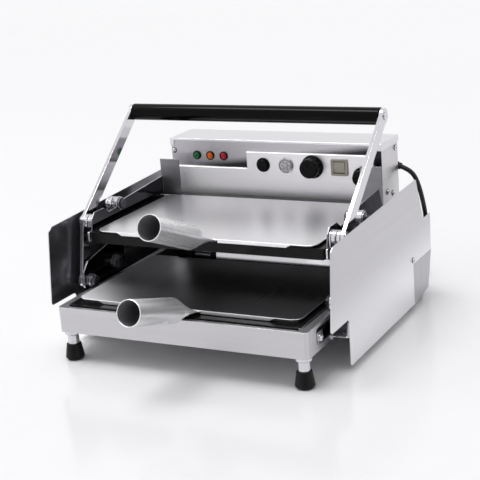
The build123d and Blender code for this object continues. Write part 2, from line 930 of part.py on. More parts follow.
def make_platen_pivot_nuts():
    nuts = []
    for y, z, thickness in (
        (pivot_a_y, pivot_a_z, arm_thickness),
        (pivot_b_y, pivot_b_z, link_thickness),
    ):
        nuts += both_sides(pivot_nut(y, z, arm_x + thickness + seat_gap))
    return nuts


# Bun guards: a side sheet with a notch round the rear pivot, and a stop turned in at the back
def make_bun_guard():
    low_z = platen_bottom_z
    floor_z = guard_top_z - guard_notch_depth
    points = [
        (platen_front_y + 4, low_z),
        (guard_front_y - 1, guard_top_z - 9),
        (guard_front_y + 7, guard_top_z),
        (guard_notch_y - guard_notch_length / 2 - 13, guard_top_z),
        (guard_notch_y - guard_notch_length / 2, floor_z),
        (guard_notch_y + guard_notch_length / 2, floor_z + 1),
        (guard_notch_y + guard_notch_length / 2 + 26, guard_top_z),
        (guard_stop_y + guard_thickness, guard_top_z + guard_rear_rise),
        (guard_stop_y + guard_thickness, low_z),
    ]
    guard = side_sheet(outline_of(points, 3), guard_out_x - guard_thickness, guard_thickness)
    stop_low_z = upper_tray_z - guard_stop_dip
    guard += block(
        guard_out_x - guard_stop_width,
        guard_out_x,
        guard_stop_y,
        guard_stop_y + guard_thickness,
        stop_low_z,
        guard_stop_top_z,
    )
    return guard


# Bun trays: a sheet with a turned-down front lip and a tube handle
def make_tray(y_front, z_low):
    tray = slab(tray_width, tray_depth, sheet, tray_corner_radius, y_front, z_low)
    half_top = tray_lip_width / 2
    half_foot = half_top - tray_lip_slant
    foot = sheet - tray_lip_height
    lip = outline_of([(-half_foot, foot), (half_foot, foot), (half_top, 0), (-half_top, 0)])
    tray += extrude(Plane.XZ.offset(-y_front - sheet) * Pos(0, z_low) * lip, sheet)
    half = tube_flat_width / 2 + touch_gap
    return tray - block(-half, half, y_front - 1, y_front + sheet, z_low - tray_lip_height, z_low)


def make_tray_handle(y_front, z_low, tilt):
    """A tube that is pressed flat where its tongue lies under the tray."""
    outer = tube_body(tube_radius, tube_flat_width / 2, tube_flat_thickness / 2)
    inner = tube_body(
        tube_radius - tube_wall, tube_flat_width / 2 - tube_wall, tube_flat_thickness / 2 - tube_wall
    )
    root_z = z_low + sheet - tube_flat_thickness / 2
    along_tube = Plane(
        (0, y_front - 1, root_z),
        x_dir=(1, 0, 0),
        z_dir=(0, -cos(radians(tilt)), sin(radians(tilt))),
    )
    half = tube_flat_width / 2 - 3
    tongue = block(-half, half, y_front - 2, y_front + tongue_length, z_low - sheet, z_low)
    return along_tube.location * (outer - inner) + tongue


def tube_body(radius, flat_half_width, flat_half_height):
    """The round tube and its taper to the pressed end, filled."""
    middle_width = (radius + flat_half_width) / 2
    middle_height = flat_half_height + (radius - flat_half_height) * 0.6
    taper = loft(
        [
            Ellipse(flat_half_width, flat_half_height),
            Pos(0, 0, tube_taper_length / 2) * Ellipse(middle_width, middle_height),
            Pos(0, 0, tube_taper_length) * Ellipse(radius, radius),
        ]
    )
    return taper + Pos(0, 0, tube_taper_length) * rod(radius, tube_length - tube_taper_length)


# Side covers: a flat sheet whose rear lower wing leans inwards from a crease
def make_side_cover():
    points = [
        (cover_front_y, cover_step_z),
        (cover_front_top_y, cover_front_top_z - 5),
        (cover_front_top_y + 9, cover_front_top_z + 1),
        (cover_top_rear_y, cover_top_rear_z),
        (cover_slope_foot_y, cover_wing_top_z),
        (cover_rear_y, cover_wing_top_z),
        (cover_rear_y, cover_bottom_z),
        (cover_step_y, cover_bottom_z),
        (cover_step_y, cover_step_z),
    ]
    flat = outline_of(points)
    sharp = [v for v in flat.vertices() if abs(v.Y - cover_wing_top_z) > over_cut]
    flat = fillet(sharp, cover_corner_radius)
    cover = side_sheet(flat, cover_x, cover_thickness)
    low_z = cover_bottom_z - over_cut
    wing_window = block(
        cover_x - over_cut,
        cover_x + 2 * cover_thickness,
        cover_crease_y,
        cover_rear_y + over_cut,
        low_z,
        cover_crease_z,
    )
    kept = side_sheet(flat, cover_x - 2 * cover_wing_bend, 4 * cover_wing_bend)
    wing = loft(
        [
            Pos(0, 0, cover_crease_z) * wing_section(0),
            Pos(0, 0, low_z) * wing_section(cover_wing_bend),
        ],
        ruled=True,
    )
    return cover - wing_window + (wing & kept) - cover_screw_hole()


def wing_section(bend):
    return Polygon(
        (cover_x, cover_crease_y),
        (cover_x + cover_thickness, cover_crease_y),
        (cover_x + cover_thickness - bend, cover_rear_y),
        (cover_x - bend, cover_rear_y),
        align=None,
    )


def make_cover_brackets():
    """An angle from the base side to the cover, with a gusset that stands on it."""
    y_low = cover_step_y - gusset_lead
    y_high = y_low + cover_bracket_depth
    z_low = cutout_bottom_z - bracket_inset
    shelf_top_z = z_low + bracket_sheet
    bracket = block(half_base, cover_x, y_low, y_high, z_low, shelf_top_z)
    bracket += block(half_base, half_base + bracket_sheet, y_low, y_high, z_low - bracket_inset, shelf_top_z)
    top_z = z_low + gusset_height
    gusset = outline_of(
        [(y_low, z_low), (y_high, z_low), (y_high, top_z), (y_low + gusset_lead, top_z - gusset_slope)]
    )
    return both_sides(bracket + side_sheet(gusset, cover_x - bracket_sheet, bracket_sheet))


def cross_screw(length):
    """A pan head with a cross slot, standing on Z = 0, and its shank below."""
    long_side, short_side = screw_slot_length, screw_slot_width
    cross = Box(long_side, short_side, screw_radius) + Box(short_side, long_side, screw_radius)
    head = turned(screw_head_profile) - Pos(0, 0, screw_head_height) * cross
    return head + Pos(0, 0, -length) * rod(screw_radius, length)


def make_cover_screws():
    head_x = cover_x + cover_thickness
    return both_sides(along_x(cross_screw(screw_length), cover_screw_y, cover_screw_z, head_x))


def riser_screw_places():
    pairs = zip(riser_screw_setbacks, riser_screw_drops)
    return [(base_depth + setback, box_bottom_z - drop) for setback, drop in pairs]


def make_riser_screws():
    return [
        piece
        for y, z in riser_screw_places()
        for piece in both_sides(along_x(cross_screw(sheet), y, z, box_half_width))
    ]


# Rear housing: closes the back of the base, carries the control box and the rear feet
def make_rear_housing():
    outer = Polygon(
        (-housing_front_half_width, base_depth),
        (housing_front_half_width, base_depth),
        (housing_rear_half_width, housing_rear_y),
        (-housing_rear_half_width, housing_rear_y),
        align=None,
    )
    inner = Polygon(
        (-housing_front_half_width + sheet, base_depth + sheet),
        (housing_front_half_width - sheet, base_depth + sheet),
        (housing_rear_half_width - sheet, housing_rear_y + over_cut),
        (-housing_rear_half_width + sheet, housing_rear_y + over_cut),
        align=None,
    )
    height = housing_top_z - housing_bottom_z
    housing = Pos(0, 0, housing_bottom_z) * extrude(outer, height)
    housing -= Pos(0, 0, housing_bottom_z + sheet) * extrude(inner, height - 2 * sheet)
    boss_length = housing_cover_gap + housing_boss_root
    boss = along_x(rod(housing_boss_radius, boss_length), cover_screw_y, cover_screw_z, cover_x - boss_length)
    for side in both_sides(boss):
        housing += side
    return housing - cover_screw_hole()


def cover_screw_hole():
    length = 2 * (cover_x + cover_thickness + over_cut)
    return along_x(rod(screw_radius + seat_gap, length), cover_screw_y, cover_screw_z, -length / 2)


def rear_slot(slot, rear_y, x, z):
    """A slot cut through a sheet whose outer face is at rear_y."""
    return extrude(Plane.XZ.offset(-rear_y - over_cut) * Pos(x, z) * slot, sheet + 2 * over_cut)


def make_rear_panel():
    panel = block(
        -housing_rear_half_width + sheet + touch_gap,
        housing_rear_half_width - sheet - touch_gap,
        housing_rear_y - sheet,
        housing_rear_y,
        housing_bottom_z + sheet,
        housing_top_z - sheet,
    )
    slot = SlotOverall(louvre_width, louvre_height)
    middle_z = (housing_bottom_z + housing_top_z) / 2
    for x in (-housing_rear_half_width / 2, housing_rear_half_width / 2):
        for index in range(louvre_count):
            z = middle_z + (index - (louvre_count - 1) / 2) * louvre_pitch
            panel -= rear_slot(slot, housing_rear_y, x, z)
    return panel


# Control box, its lid, risers and the stepped front panel
def make_box_riser():
    outline = outline_of(
        [
            (base_depth + riser_foot_setback, housing_top_z),
            (box_rear_y, housing_top_z),
            (box_rear_y, box_bottom_z),
            (riser_front_y, box_bottom_z),
            (riser_front_y, box_bottom_z - riser_nose_height),
            (base_depth + riser_foot_setback, box_bottom_z - riser_shoulder_drop),
        ]
    )
    riser = side_sheet(outline, box_half_width - sheet, sheet)
    inner_x = box_half_width - riser_flange
    outer_x = box_half_width - sheet / 2
    front_y = base_depth + 2 * riser_foot_setback
    for z in (housing_top_z, box_bottom_z - sheet):
        riser += block(inner_x, outer_x, front_y, box_rear_y - riser_foot_setback, z, z + sheet)
    for y, z in riser_screw_places():
        riser -= along_x(rod(screw_radius + seat_gap, riser_flange), y, z, inner_x + over_cut)
    return riser


def make_control_box():
    wall_top = box_top_z - sheet - touch_gap
    half = box_half_width
    box = block(-half, half, box_front_y, box_rear_y, box_bottom_z, wall_top)
    box -= block(
        -half + sheet,
        half - sheet,
        box_front_y + sheet,
        box_rear_y - sheet,
        box_bottom_z + sheet,
        wall_top + over_cut,
    )
    box -= block(
        panel_notch_x + box_window_side,
        panel_top_half_width - box_window_margin,
        box_front_y - over_cut,
        box_front_y + sheet + over_cut,
        box_bottom_z + sheet,
        panel_top_z - box_window_top,
    )
    for x in lamp_xs:
        hole = rod(lamp_radius + seat_gap, 2 * lamp_depth)
        box -= facing_front(hole, x, box_front_y + lamp_depth, lamp_z)
    gland_hole = rod(gland_spigot_radius + seat_gap, gland_spigot_length + over_cut)
    box -= facing_front(gland_hole, gland_x + elbow_depth / 2, box_rear_y + over_cut, gland_z)
    vent = SlotOverall(box_vent_width, box_vent_height)
    middle_z = (box_bottom_z + panel_top_z) / 2
    for column in range(box_vent_columns):
        x = (column - box_vent_columns / 2) * box_vent_pitch_x
        for row in range(box_vent_rows):
            z = middle_z + (row - (box_vent_rows - 1) / 2) * box_vent_pitch_z
            box -= rear_slot(vent, box_rear_y, x, z)
    return box


def make_box_lid():
    half = box_half_width + lid_overhang
    front = box_front_y - lid_overhang
    rear = box_rear_y + lid_overhang
    z_low = box_top_z - lid_flange
    lid = block(-half, half, front, rear, z_low, box_top_z)
    lid -= block(
        -half + thin_sheet,
        half - thin_sheet,
        front + thin_sheet,
        rear - thin_sheet,
        z_low - over_cut,
        box_top_z - thin_sheet,
    )
    open_half = half - lid_side_land
    brow_z = box_top_z - lid_brow
    lid -= block(-open_half, open_half, front - over_cut, box_front_y + over_cut, z_low - over_cut, brow_z)
    return fillet(lid.faces().sort_by(Axis.Z)[-1].outer_wire().edges(), lid_edge_radius)


def panel_outline(inset):
    bottom = panel_bottom_half_width - inset
    top = panel_top_half_width - inset
    step = panel_top_half_width + (panel_bottom_half_width - panel_top_half_width) * (
        panel_top_z - panel_notch_z
    ) / (panel_top_z - panel_bottom_z) - inset
    return Polygon(
        (-bottom, panel_bottom_z + inset),
        (bottom, panel_bottom_z + inset),
        (top, panel_top_z - inset),
        (panel_notch_x + inset, panel_top_z - inset),
        (panel_notch_x + inset, panel_notch_z - inset),
        (-step, panel_notch_z - inset),
        align=None,
    )


def make_front_panel():
    depth = box_front_y - panel_front_y
    panel = extrude(Plane.XZ.offset(-box_front_y) * panel_outline(0), depth)
    panel = fillet(panel.faces().sort_by(Axis.Y)[0].edges(), panel_edge_radius)
    hollow_plane = Plane.XZ.offset(-box_front_y - over_cut)
    panel -= extrude(hollow_plane * panel_outline(thin_sheet), depth - sheet + over_cut)
    behind_y = panel_front_y + sheet + over_cut
    for x, z, radius in (
        (button_x, button_z, button_bezel_radius - button_neck_inset),
        (buzzer_x, buzzer_z, buzzer_radius - buzzer_neck_inset),
        (timer_x, timer_z, shaft_radius + shaft_clearance),
        (thermostat_x, thermostat_z, shaft_radius + shaft_clearance),
    ):
        panel -= facing_front(rod(radius + seat_gap, sheet + 2 * over_cut), x, behind_y, z)
    half_w = rocker_frame_width / 2 - rocker_neck_inset + 2 * seat_gap
    half_h = rocker_frame_height / 2 - rocker_neck_inset + 2 * seat_gap
    left, right_x = rocker_x - half_w, rocker_x + half_w
    return panel - block(
        left, right_x, panel_front_y - over_cut, behind_y, rocker_z - half_h, rocker_z + half_h
    )


# Controls
def make_lamp_bezels():
    ring = turned(
        [
            (lamp_radius + seat_gap, 0),
            (bezel_radius, 0),
            (bezel_radius, bezel_height - bezel_edge),
            (bezel_radius - bezel_edge, bezel_height),
            (lamp_radius + seat_gap, bezel_height),
        ]
    )
    return [facing_front(ring, x, box_front_y, lamp_z) for x in lamp_xs]


def make_lamp(x):
    lens = turned(
        [
            (0, -lamp_depth),
            (lamp_radius, -lamp_depth),
            (lamp_radius, lamp_dome_height * 0.48),
            (lamp_radius * 0.88, lamp_dome_height * 0.74),
            (lamp_radius * 0.55, lamp_dome_height * 0.93),
            (0, lamp_dome_height),
        ]
    )
    return facing_front(lens, x, box_front_y, lamp_z)


def make_start_button_bezel():
    """The ring round the button, and the switch that its sleeve carries."""
    neck_radius = button_bezel_radius - button_neck_inset
    ring = turned(
        [
            (button_radius + seat_gap, -button_sleeve_depth),
            (neck_radius, -button_sleeve_depth),
            (neck_radius, 0),
            (button_bezel_radius, 0),
            (button_bezel_radius, bezel_height - bezel_edge),
            (button_bezel_radius - bezel_edge, bezel_height),
            (button_radius + seat_gap, bezel_height),
        ]
    )
    switch_height = button_switch_depth - button_sleeve_depth
    switch = Pos(0, 0, -button_switch_depth) * rod(neck_radius, switch_height)
    return facing_front(ring + switch, button_x, panel_front_y, button_z)


def make_start_button():
    back = button_travel + over_cut - button_sleeve_depth
    cap = turned(
        [
            (0, back),
            (button_radius, back),
            (button_radius, button_height - bezel_edge),
            (button_radius - bezel_edge, button_height),
            (0, button_height),
        ]
    )
    return facing_front(cap, button_x, panel_front_y, button_z)


def make_buzzer():
    neck_radius = buzzer_radius - buzzer_neck_inset
    cap = turned(
        [
            (0, -buzzer_depth),
            (neck_radius, -buzzer_depth),
            (neck_radius, 0),
            (buzzer_radius, 0),
            (buzzer_radius, buzzer_height * 0.4),
            (buzzer_radius * 0.88, buzzer_height * 0.87),
            (buzzer_radius * 0.7, buzzer_height),
            (buzzer_radius * 0.63, buzzer_height * 0.73),
            (0, buzzer_height * 0.87),
        ]
    )
    hole = rod(buzzer_hole_radius, buzzer_height)
    floor_z = buzzer_height / 3
    cap -= Pos(0, 0, floor_z) * hole
    for index in range(buzzer_hole_count):
        angle = radians(360 / buzzer_hole_count * index)
        cap -= Pos(buzzer_hole_ring * cos(angle), buzzer_hole_ring * sin(angle), floor_z) * hole
    return facing_front(cap, buzzer_x, panel_front_y, buzzer_z)


def make_knob(radius, height, x, z):
    """A moulded knob: a skirt, a fluted grip and a flat top with a pointer groove."""
    body = turned(
        [
            (0, 0),
            (radius, 0),
            (radius, knob_skirt),
            (radius - knob_skirt_inset, 1.8 * knob_skirt),
            (radius - knob_grip_inset, height - knob_skirt),
            (radius - knob_top_inset, height),
            (0, height),
        ]
    )
    reach = radius - knob_flute_inset
    flute = rod(knob_flute_radius, height)
    for index in range(knob_flute_count):
        angle = radians(360 / knob_flute_count * (index + 0.5))
        body -= Pos(reach * cos(angle), reach * sin(angle), 2.1 * knob_skirt) * flute
    groove = Box(knob_groove_width, radius - knob_top_inset, knob_groove_width)
    body -= Pos(0, radius / 2 - over_cut, height) * groove
    bore = rod(shaft_radius + running_fit, shaft_reach + over_cut + seat_gap)
    return facing_front(body - Pos(0, 0, -over_cut) * bore, x, panel_front_y - knob_gap, z)


def make_control_body(size, x, z):
    """The clockwork timer or thermostat behind a knob, with the shaft that carries it."""
    width, height, depth = size
    outline = RectangleRounded(width, height, control_body_corner)
    body = Pos(0, 0, -sheet - depth) * extrude(outline, depth)
    body += Pos(0, 0, -2 * sheet) * rod(shaft_radius, 2 * sheet + knob_gap + shaft_reach)
    return facing_front(body, x, panel_front_y, z)


def make_rocker_frame():
    rim = RectangleRounded(rocker_frame_width, rocker_frame_height, rocker_frame_corner)
    neck_width = rocker_frame_width - 2 * rocker_neck_inset
    neck_height = rocker_frame_height - 2 * rocker_neck_inset
    outer = extrude(rim, rocker_frame_rise)
    outer += Pos(0, 0, -rocker_neck_depth) * extrude(Rectangle(neck_width, neck_height), rocker_neck_depth)
    well = Rectangle(rocker_width + 2 * rocker_gap, rocker_height + 2 * rocker_gap)
    outer -= Pos(0, 0, -rocker_well_depth) * extrude(well, 2 * rocker_well_depth)
    return facing_front(outer, rocker_x, panel_front_y, rocker_z)


def make_rocker():
    """The rocker turns about a pin along X, and rests with its lower half out."""
    reach = rocker_height / 2 - rocker_gap
    foot = reach - 2 * rocker_edge_rise
    outline = outline_of(
        [
            (-reach, rocker_edge_rise),
            (0, rocker_ridge),
            (reach, rocker_edge_rise),
            (foot, -rocker_depth),
            (-foot, -rocker_depth),
        ]
    )
    half_width = rocker_width / 2 - seat_gap
    body = extrude(Plane.YZ.offset(-half_width) * outline, 2 * half_width)
    body = Rot(rocker_tilt, 0, 0) * body
    return facing_front(body, rocker_x, panel_front_y, rocker_z)


def make_terminal_block():
    x_low = terminal_inset - box_half_width
    y_low = box_front_y + terminal_setback
    z_low = box_bottom_z + sheet
    x_high = x_low + terminal_count * terminal_pitch
    body = block(x_low, x_high, y_low, y_low + terminal_depth, z_low, z_low + terminal_height)
    for index in range(terminal_count):
        x = x_low + terminal_pitch * (index + 0.5)
        body -= Pos(x, y_low + terminal_depth / 2, z_low + terminal_height * 0.65) * rod(
            terminal_hole_radius, terminal_height
        )
    return body


# Cable gland: an elbow on the back of the box, and a ribbed boot that droops a little
def boot_place():
    """The frame in which the boot is made along its own +Z."""
    droop = radians(boot_droop)
    origin = (gland_x + elbow_depth - boot_root_depth, box_rear_y + elbow_depth / 2, gland_z)
    return Plane(origin, x_dir=(0, 1, 0), z_dir=(cos(droop), 0, -sin(droop)))


def make_cable_gland():
    y = box_rear_y
    half = elbow_depth / 2
    gland = block(gland_x, gland_x + elbow_depth, y, y + elbow_depth, gland_z - half, gland_z + half)
    gland = fillet(gland.edges().filter_by(Axis.Z).sort_by(Axis.Y)[-2:], elbow_corner_radius)
    spigot = rod(gland_spigot_radius, gland_spigot_length)
    gland += facing_front(spigot, gland_x + half, y + over_cut, gland_z)
    boot = Cone(boot_root_radius, boot_tip_radius, boot_length, align=ground_up)
    spacing = (boot_length - boot_tip_land) / boot_rib_count
    core_radius = boot_tip_radius - boot_groove_depth
    groove = rod(2 * boot_root_radius, spacing / 2) - rod(core_radius, spacing / 2)
    for index in range(boot_rib_count):
        boot -= Pos(0, 0, boot_rib_start + index * spacing) * groove
    socket = rod(cord_diameter / 2, socket_depth + over_cut)
    boot -= Pos(0, 0, boot_length - socket_depth) * socket
    return gland + boot_place().location * boot


# Cord: the free stretch from the boot to the counter, then the coil and the plug
def cord_route():
    """Control points of the free stretch, chosen by hand; the last run is along Y into the coil."""
    along_boot = boot_place().z_dir
    start = boot_place().origin + along_boot * (boot_length - socket_depth)
    coil_start = coil_stop(0)
    fall = [
        Vector(cover_x - inset, base_depth + setback, gland_z * height_share)
        for inset, setback, height_share in cord_fall
    ]
    landing = coil_start - Vector(0, 2.1 * coil_run_in, -cord_diameter / 2)
    run_in = coil_start - Vector(0, coil_run_in, 0)
    return [start, start + along_boot * cord_lead, *fall, landing, run_in, coil_start]


def cord_radii(route):
    """Each bend is as large as its two runs allow."""
    radii = []
    for before, corner, after in zip(route, route[1:], route[2:]):
        run = min((corner - before).length, (after - corner).length)
        turn = (corner - before).get_angle(after - corner)
        radii.append(0.45 * run / tan(radians(turn) / 2))
    return radii


def make_cord_free():
    route = cord_route()
    radii = cord_radii(route)
    path = FilletPolyline(*route, radius=radii)
    tube = sweep(Plane(route[0], z_dir=path % 0) * Circle(cord_diameter / 2), path)
    section = pi * cord_diameter**2 / 4
    print("free cord bend radii", [round(radius, 1) for radius in radii])
    print("free cord length", round(path.length, 1), "volume ratio", tube.volume / (section * path.length))
    return tube


def coil_stop(index):
    """Where the coil stands after so many half turns: in, up a layer, and out again."""
    last_inward = 2 * coil_turns_per_layer
    steps_from_middle = max(last_inward - index, index - last_inward - 1)
    radius = coil_inner_radius + coil_pitch / 2 * steps_from_middle
    side = 1 if index % 2 == 0 else -1
    layer = coil_layer_step if index > last_inward else 0
    return Vector(coil_x + side * radius, coil_y, cord_diameter / 2 + layer)


def coil_path():
    """Half turns of two arcs each, then a quarter turn and a straight tail."""
    arcs = []
    half_turns = 4 * coil_turns_per_layer + 1
    for index in range(half_turns):
        start = coil_stop(index)
        end = coil_stop(index + 1)
        heading = Vector(0, 1 if index % 2 == 0 else -1, 0)
        joint = (start + end) / 2 + heading * ((end - start).length / 2)
        arcs.append(TangentArc(start, joint, tangent=heading))
        if index < half_turns - 1:
            arcs.append(TangentArc(joint, end, tangent=end - start))
    arcs.append(Line(joint, joint - Vector(coil_tail, 0, 0)))
    return Wire(arcs)


def make_cord_coil():
    path = coil_path()
    tube = sweep(Plane(coil_stop(0), z_dir=(0, 1, 0)) * Circle(cord_diameter / 2), path)
    count = int(path.length / 4)
    points = [path @ (index / count) for index in range(count + 1)]
    apart = int(3 * cord_diameter)
    least = min(
        (points[i] - points[j]).length for i in range(count + 1) for j in range(i + apart, count + 1)
    )
    section = pi * cord_diameter**2 / 4
    print("coil least gap", round(least - cord_diameter, 2))
    print("coil length", round(path.length, 1), "volume ratio", tube.volume / (section * path.length))
    return tube


def make_plug():
    """Moulded plug that lies on the counter, with a tapered relief and two round pins."""
    end = coil_path() @ 1
    tip_radius = cord_diameter / 2 + plug_relief_wall
    relief = Cone(plug_relief_radius, tip_radius, plug_relief_length, align=ground_up)
    pitch = plug_relief_length / (plug_groove_count + 1)
    ring = rod(2 * plug_relief_radius, 0.4 * pitch) - rod(cord_diameter / 2 + plug_groove_wall, 0.4 * pitch)
    for index in range(plug_groove_count):
        relief -= Pos(0, 0, pitch * (index + 1)) * ring
    body = extrude(RectangleRounded(plug_width, plug_height, plug_height / 2 - over_cut), plug_length)
    body = chamfer(body.faces().sort_by(Axis.Z)[0].outer_wire().edges(), plug_edge)
    body = chamfer(body.faces().sort_by(Axis.Z)[-1].outer_wire().edges(), plug_edge)
    for x in (-plug_pin_pitch / 2, plug_pin_pitch / 2):
        body += Pos(x, 0, -plug_pin_length) * rod(plug_pin_radius, plug_pin_length)
    plug = body + Pos(0, 0, plug_length) * relief
    start_x = end.X - plug_length - plug_relief_length
    return Plane((start_x, end.Y, end.Z), x_dir=(0, 1, 0), z_dir=(1, 0, 0)).location * plug


right = {
    "arm": make_arm(),
    "bun_guard": make_bun_guard(),
    "side_cover": make_side_cover(),
}

nodes = {
    "pivot_plates": both_sides(make_pivot_plate()),
    "rear_links": both_sides(make_rear_link()),
    "platen_brackets": both_sides(make_platen_bracket()),
    "box_risers": both_sides(make_box_riser()),
    "base_frame": make_base_frame(),
    "base_bottom_cover": make_bottom_cover(),
    "steel_feet": make_front_foot_stems() + make_rear_feet(),
    "rubber_feet": make_rubber_feet(),
    "lower_platen_pan": make_lower_platen_pan(),
    "pan_bearers": make_pan_bearers(),
    "side_brackets": make_pan_brackets() + make_cover_brackets(),
    "wiring_cover": make_wiring_cover(),
    "wiring_conduit": make_wiring_conduit(),
    "lower_hot_plate": make_hot_plate(
        plate_thickness, lower_plate_front_y, lower_plate_top_z, pan_bottom_z + thin_sheet
    ),
    "lower_heating_element": make_heating_element(
        lower_plate_front_y + element_end_margin,
        lower_plate_front_y + plate_depth - element_end_margin,
        lower_plate_top_z - plate_thickness - element_radius,
        element_radius,
        element_passes,
    ),
    "link_stops": make_link_stops(),
    "base_pivot_bolts": make_base_pivot_bolts(),
    "base_pivot_nuts": make_base_pivot_nuts(),
    "grip_sleeve": make_grip_sleeve(),
    "grip_rod": make_grip_rod(),
    "grip_bolts": make_grip_bolts(),
    "upper_platen_casing": make_upper_platen_casing(),
    "upper_face_plate": make_upper_face_plate(),
    "upper_deck_plate": make_hot_plate(
        upper_plate_thickness, upper_plate_front_y, deck_top_z, face_plate_bottom_z + upper_plate_thickness
    ),
    "upper_heating_element": make_heating_element(
        upper_plate_front_y + element_end_margin,
        upper_plate_front_y + plate_depth - element_end_margin,
        deck_top_z - upper_plate_thickness - upper_element_radius,
        upper_element_radius,
        element_passes,
    ),
    "platen_pivot_bolts": make_platen_pivot_bolts(),
    "platen_pivot_nuts": make_platen_pivot_nuts(),
    "lower_tray": make_tray(tray_front_y, lower_tray_z),
    "lower_tray_handle": make_tray_handle(tray_front_y, lower_tray_z, lower_tube_tilt),
    "upper_tray": make_tray(upper_tray_front_y, upper_tray_z),
    "upper_tray_handle": make_tray_handle(upper_tray_front_y, upper_tray_z, upper_tube_tilt),
    "screws": make_cover_screws() + make_riser_screws(),
    "rear_housing": make_rear_housing(),
    "rear_panel": make_rear_panel(),
    "control_box": make_control_box(),
    "control_box_lid": make_box_lid(),
    "front_panel": make_front_panel(),
    "control_bezels": make_lamp_bezels() + [make_start_button_bezel()],
    "green_lens": make_lamp(lamp_xs[0]),
    "amber_lens": make_lamp(lamp_xs[1]),
    "red_lens": make_lamp(lamp_xs[2]),
    "start_button": make_start_button(),
    "buzzer": make_buzzer(),
    "timer_knob": make_knob(timer_radius, timer_knob_height, timer_x, timer_z),
    "timer_body": make_control_body(timer_body_size, timer_x, timer_z),
    "thermostat_knob": make_knob(thermostat_radius, thermostat_knob_height, thermostat_x, thermostat_z),
    "thermostat_body": make_control_body(thermostat_body_size, thermostat_x, thermostat_z),
    "rocker_frame": make_rocker_frame(),
    "power_rocker": make_rocker(),
    "terminal_block": make_terminal_block(),
    "cable_gland": make_cable_gland(),
    "cord_free": make_cord_free(),
    "cord_coil": make_cord_coil(),
    "plug": make_plug(),
}
for name, solid in right.items():
    nodes["right_" + name] = solid
    nodes["left_" + name] = left_of(solid)

cord_nodes = ("cord_free", "cord_coil", "plug", "cable_gland")


def solids_of(made):
    pieces = made if isinstance(made, list) else [made]
    return [solid for piece in pieces for solid in piece.solids()]


rigid = [solid for name, made in nodes.items() if name not in cord_nodes for solid in solids_of(made)]
middle_y = Compound(rigid).bounding_box().center().Y
print("moved back by", -middle_y, "handle swing", handle_swing)

os.makedirs("parts", exist_ok=True)
for name, made in nodes.items():
    export_step(Pos(0, -middle_y, 0) * Compound(solids_of(made)), f"parts/{name}.step")
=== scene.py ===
import json
from math import cos, pi, radians, sin

import bmesh
import bpy
from mathutils import Matrix, Vector

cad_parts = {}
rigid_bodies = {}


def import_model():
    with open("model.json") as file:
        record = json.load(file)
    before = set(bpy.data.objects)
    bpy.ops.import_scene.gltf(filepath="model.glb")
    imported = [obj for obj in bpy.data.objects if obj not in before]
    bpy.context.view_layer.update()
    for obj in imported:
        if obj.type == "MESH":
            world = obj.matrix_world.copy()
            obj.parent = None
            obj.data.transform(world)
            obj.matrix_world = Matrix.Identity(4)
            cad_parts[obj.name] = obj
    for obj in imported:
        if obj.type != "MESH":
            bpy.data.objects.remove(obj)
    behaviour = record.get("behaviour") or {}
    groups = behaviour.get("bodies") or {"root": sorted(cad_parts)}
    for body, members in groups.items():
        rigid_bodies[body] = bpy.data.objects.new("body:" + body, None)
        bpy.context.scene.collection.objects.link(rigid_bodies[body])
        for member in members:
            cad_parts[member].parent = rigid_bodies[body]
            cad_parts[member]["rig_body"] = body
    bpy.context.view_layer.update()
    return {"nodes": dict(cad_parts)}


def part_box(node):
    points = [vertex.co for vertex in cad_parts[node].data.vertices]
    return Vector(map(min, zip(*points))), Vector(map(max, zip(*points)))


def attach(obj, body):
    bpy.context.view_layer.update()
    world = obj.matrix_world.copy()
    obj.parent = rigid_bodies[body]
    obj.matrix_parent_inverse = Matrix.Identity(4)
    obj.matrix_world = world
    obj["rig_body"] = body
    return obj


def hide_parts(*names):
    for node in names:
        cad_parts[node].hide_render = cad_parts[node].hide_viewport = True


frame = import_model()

# Camera: at the height of someone who stands in front of the counter, to the right of the
# machine, with a long lens and a slight tilt to the left.
camera_data = bpy.data.cameras.new("counter_view")
camera_data.sensor_width = 36
camera_data.lens = 93.48
camera_data.shift_x = 0.0217
camera_data.shift_y = 0.0048
camera_data.clip_end = 100
camera = bpy.data.objects.new("counter_view", camera_data)
camera_place = (0.9200, -1.6730, 0.7156)
yaw, pitch, roll = radians(28.5), radians(16.2), radians(-4.5)
backward = Vector((sin(yaw) * cos(pitch), -cos(yaw) * cos(pitch), sin(pitch)))
level = Vector((cos(yaw), sin(yaw), 0))
upright = backward.cross(level)
rightward = level * cos(roll) + upright * sin(roll)
upward = upright * cos(roll) - level * sin(roll)
camera_axes = Matrix((rightward, upward, backward)).transposed().to_4x4()
camera.matrix_world = Matrix.Translation(camera_place) @ camera_axes
bpy.context.scene.collection.objects.link(camera)
bpy.context.scene.camera = camera
bpy.context.scene.view_settings.view_transform = "Standard"


# Mains cord: a round black rubber lead, 8 mm thick and about 1.45 m long. It leaves the boot beside
# the control box, hangs down behind the right cover and is wound up on the counter behind the
# machine, where its moulded plug lies.
mm = 0.001
cord_diameter = 8 * mm
cord_run = (
    (195.7, 284.4, 227.5),
    (211.6, 284.4, 221.7),
    (221, 286.9, 212),
    (227, 288.9, 197),
    (232, 293.9, 170),
    (234, 304.9, 132),
    (230, 309.9, 92),
    (220, 312.9, 53),
    (211, 322.9, 24),
    (205, 335.9, 8),
    (204, 357.9, 4),
    (204, 377.9, 4),
)
coil_middle = (150, 377.9)
coil_radii = (54, 48.75, 43.5, 38.25, 33, 33, 38.25, 43.5, 48.75, 54)
coil_heights = (4, 4, 4, 4, 4, 12.8, 12.8, 12.8, 12.8, 12.8)
steps_a_half_turn = 8
coil_steps = 8 * steps_a_half_turn + steps_a_half_turn // 2
cord_end = (107.4, 429.2, 12.8)


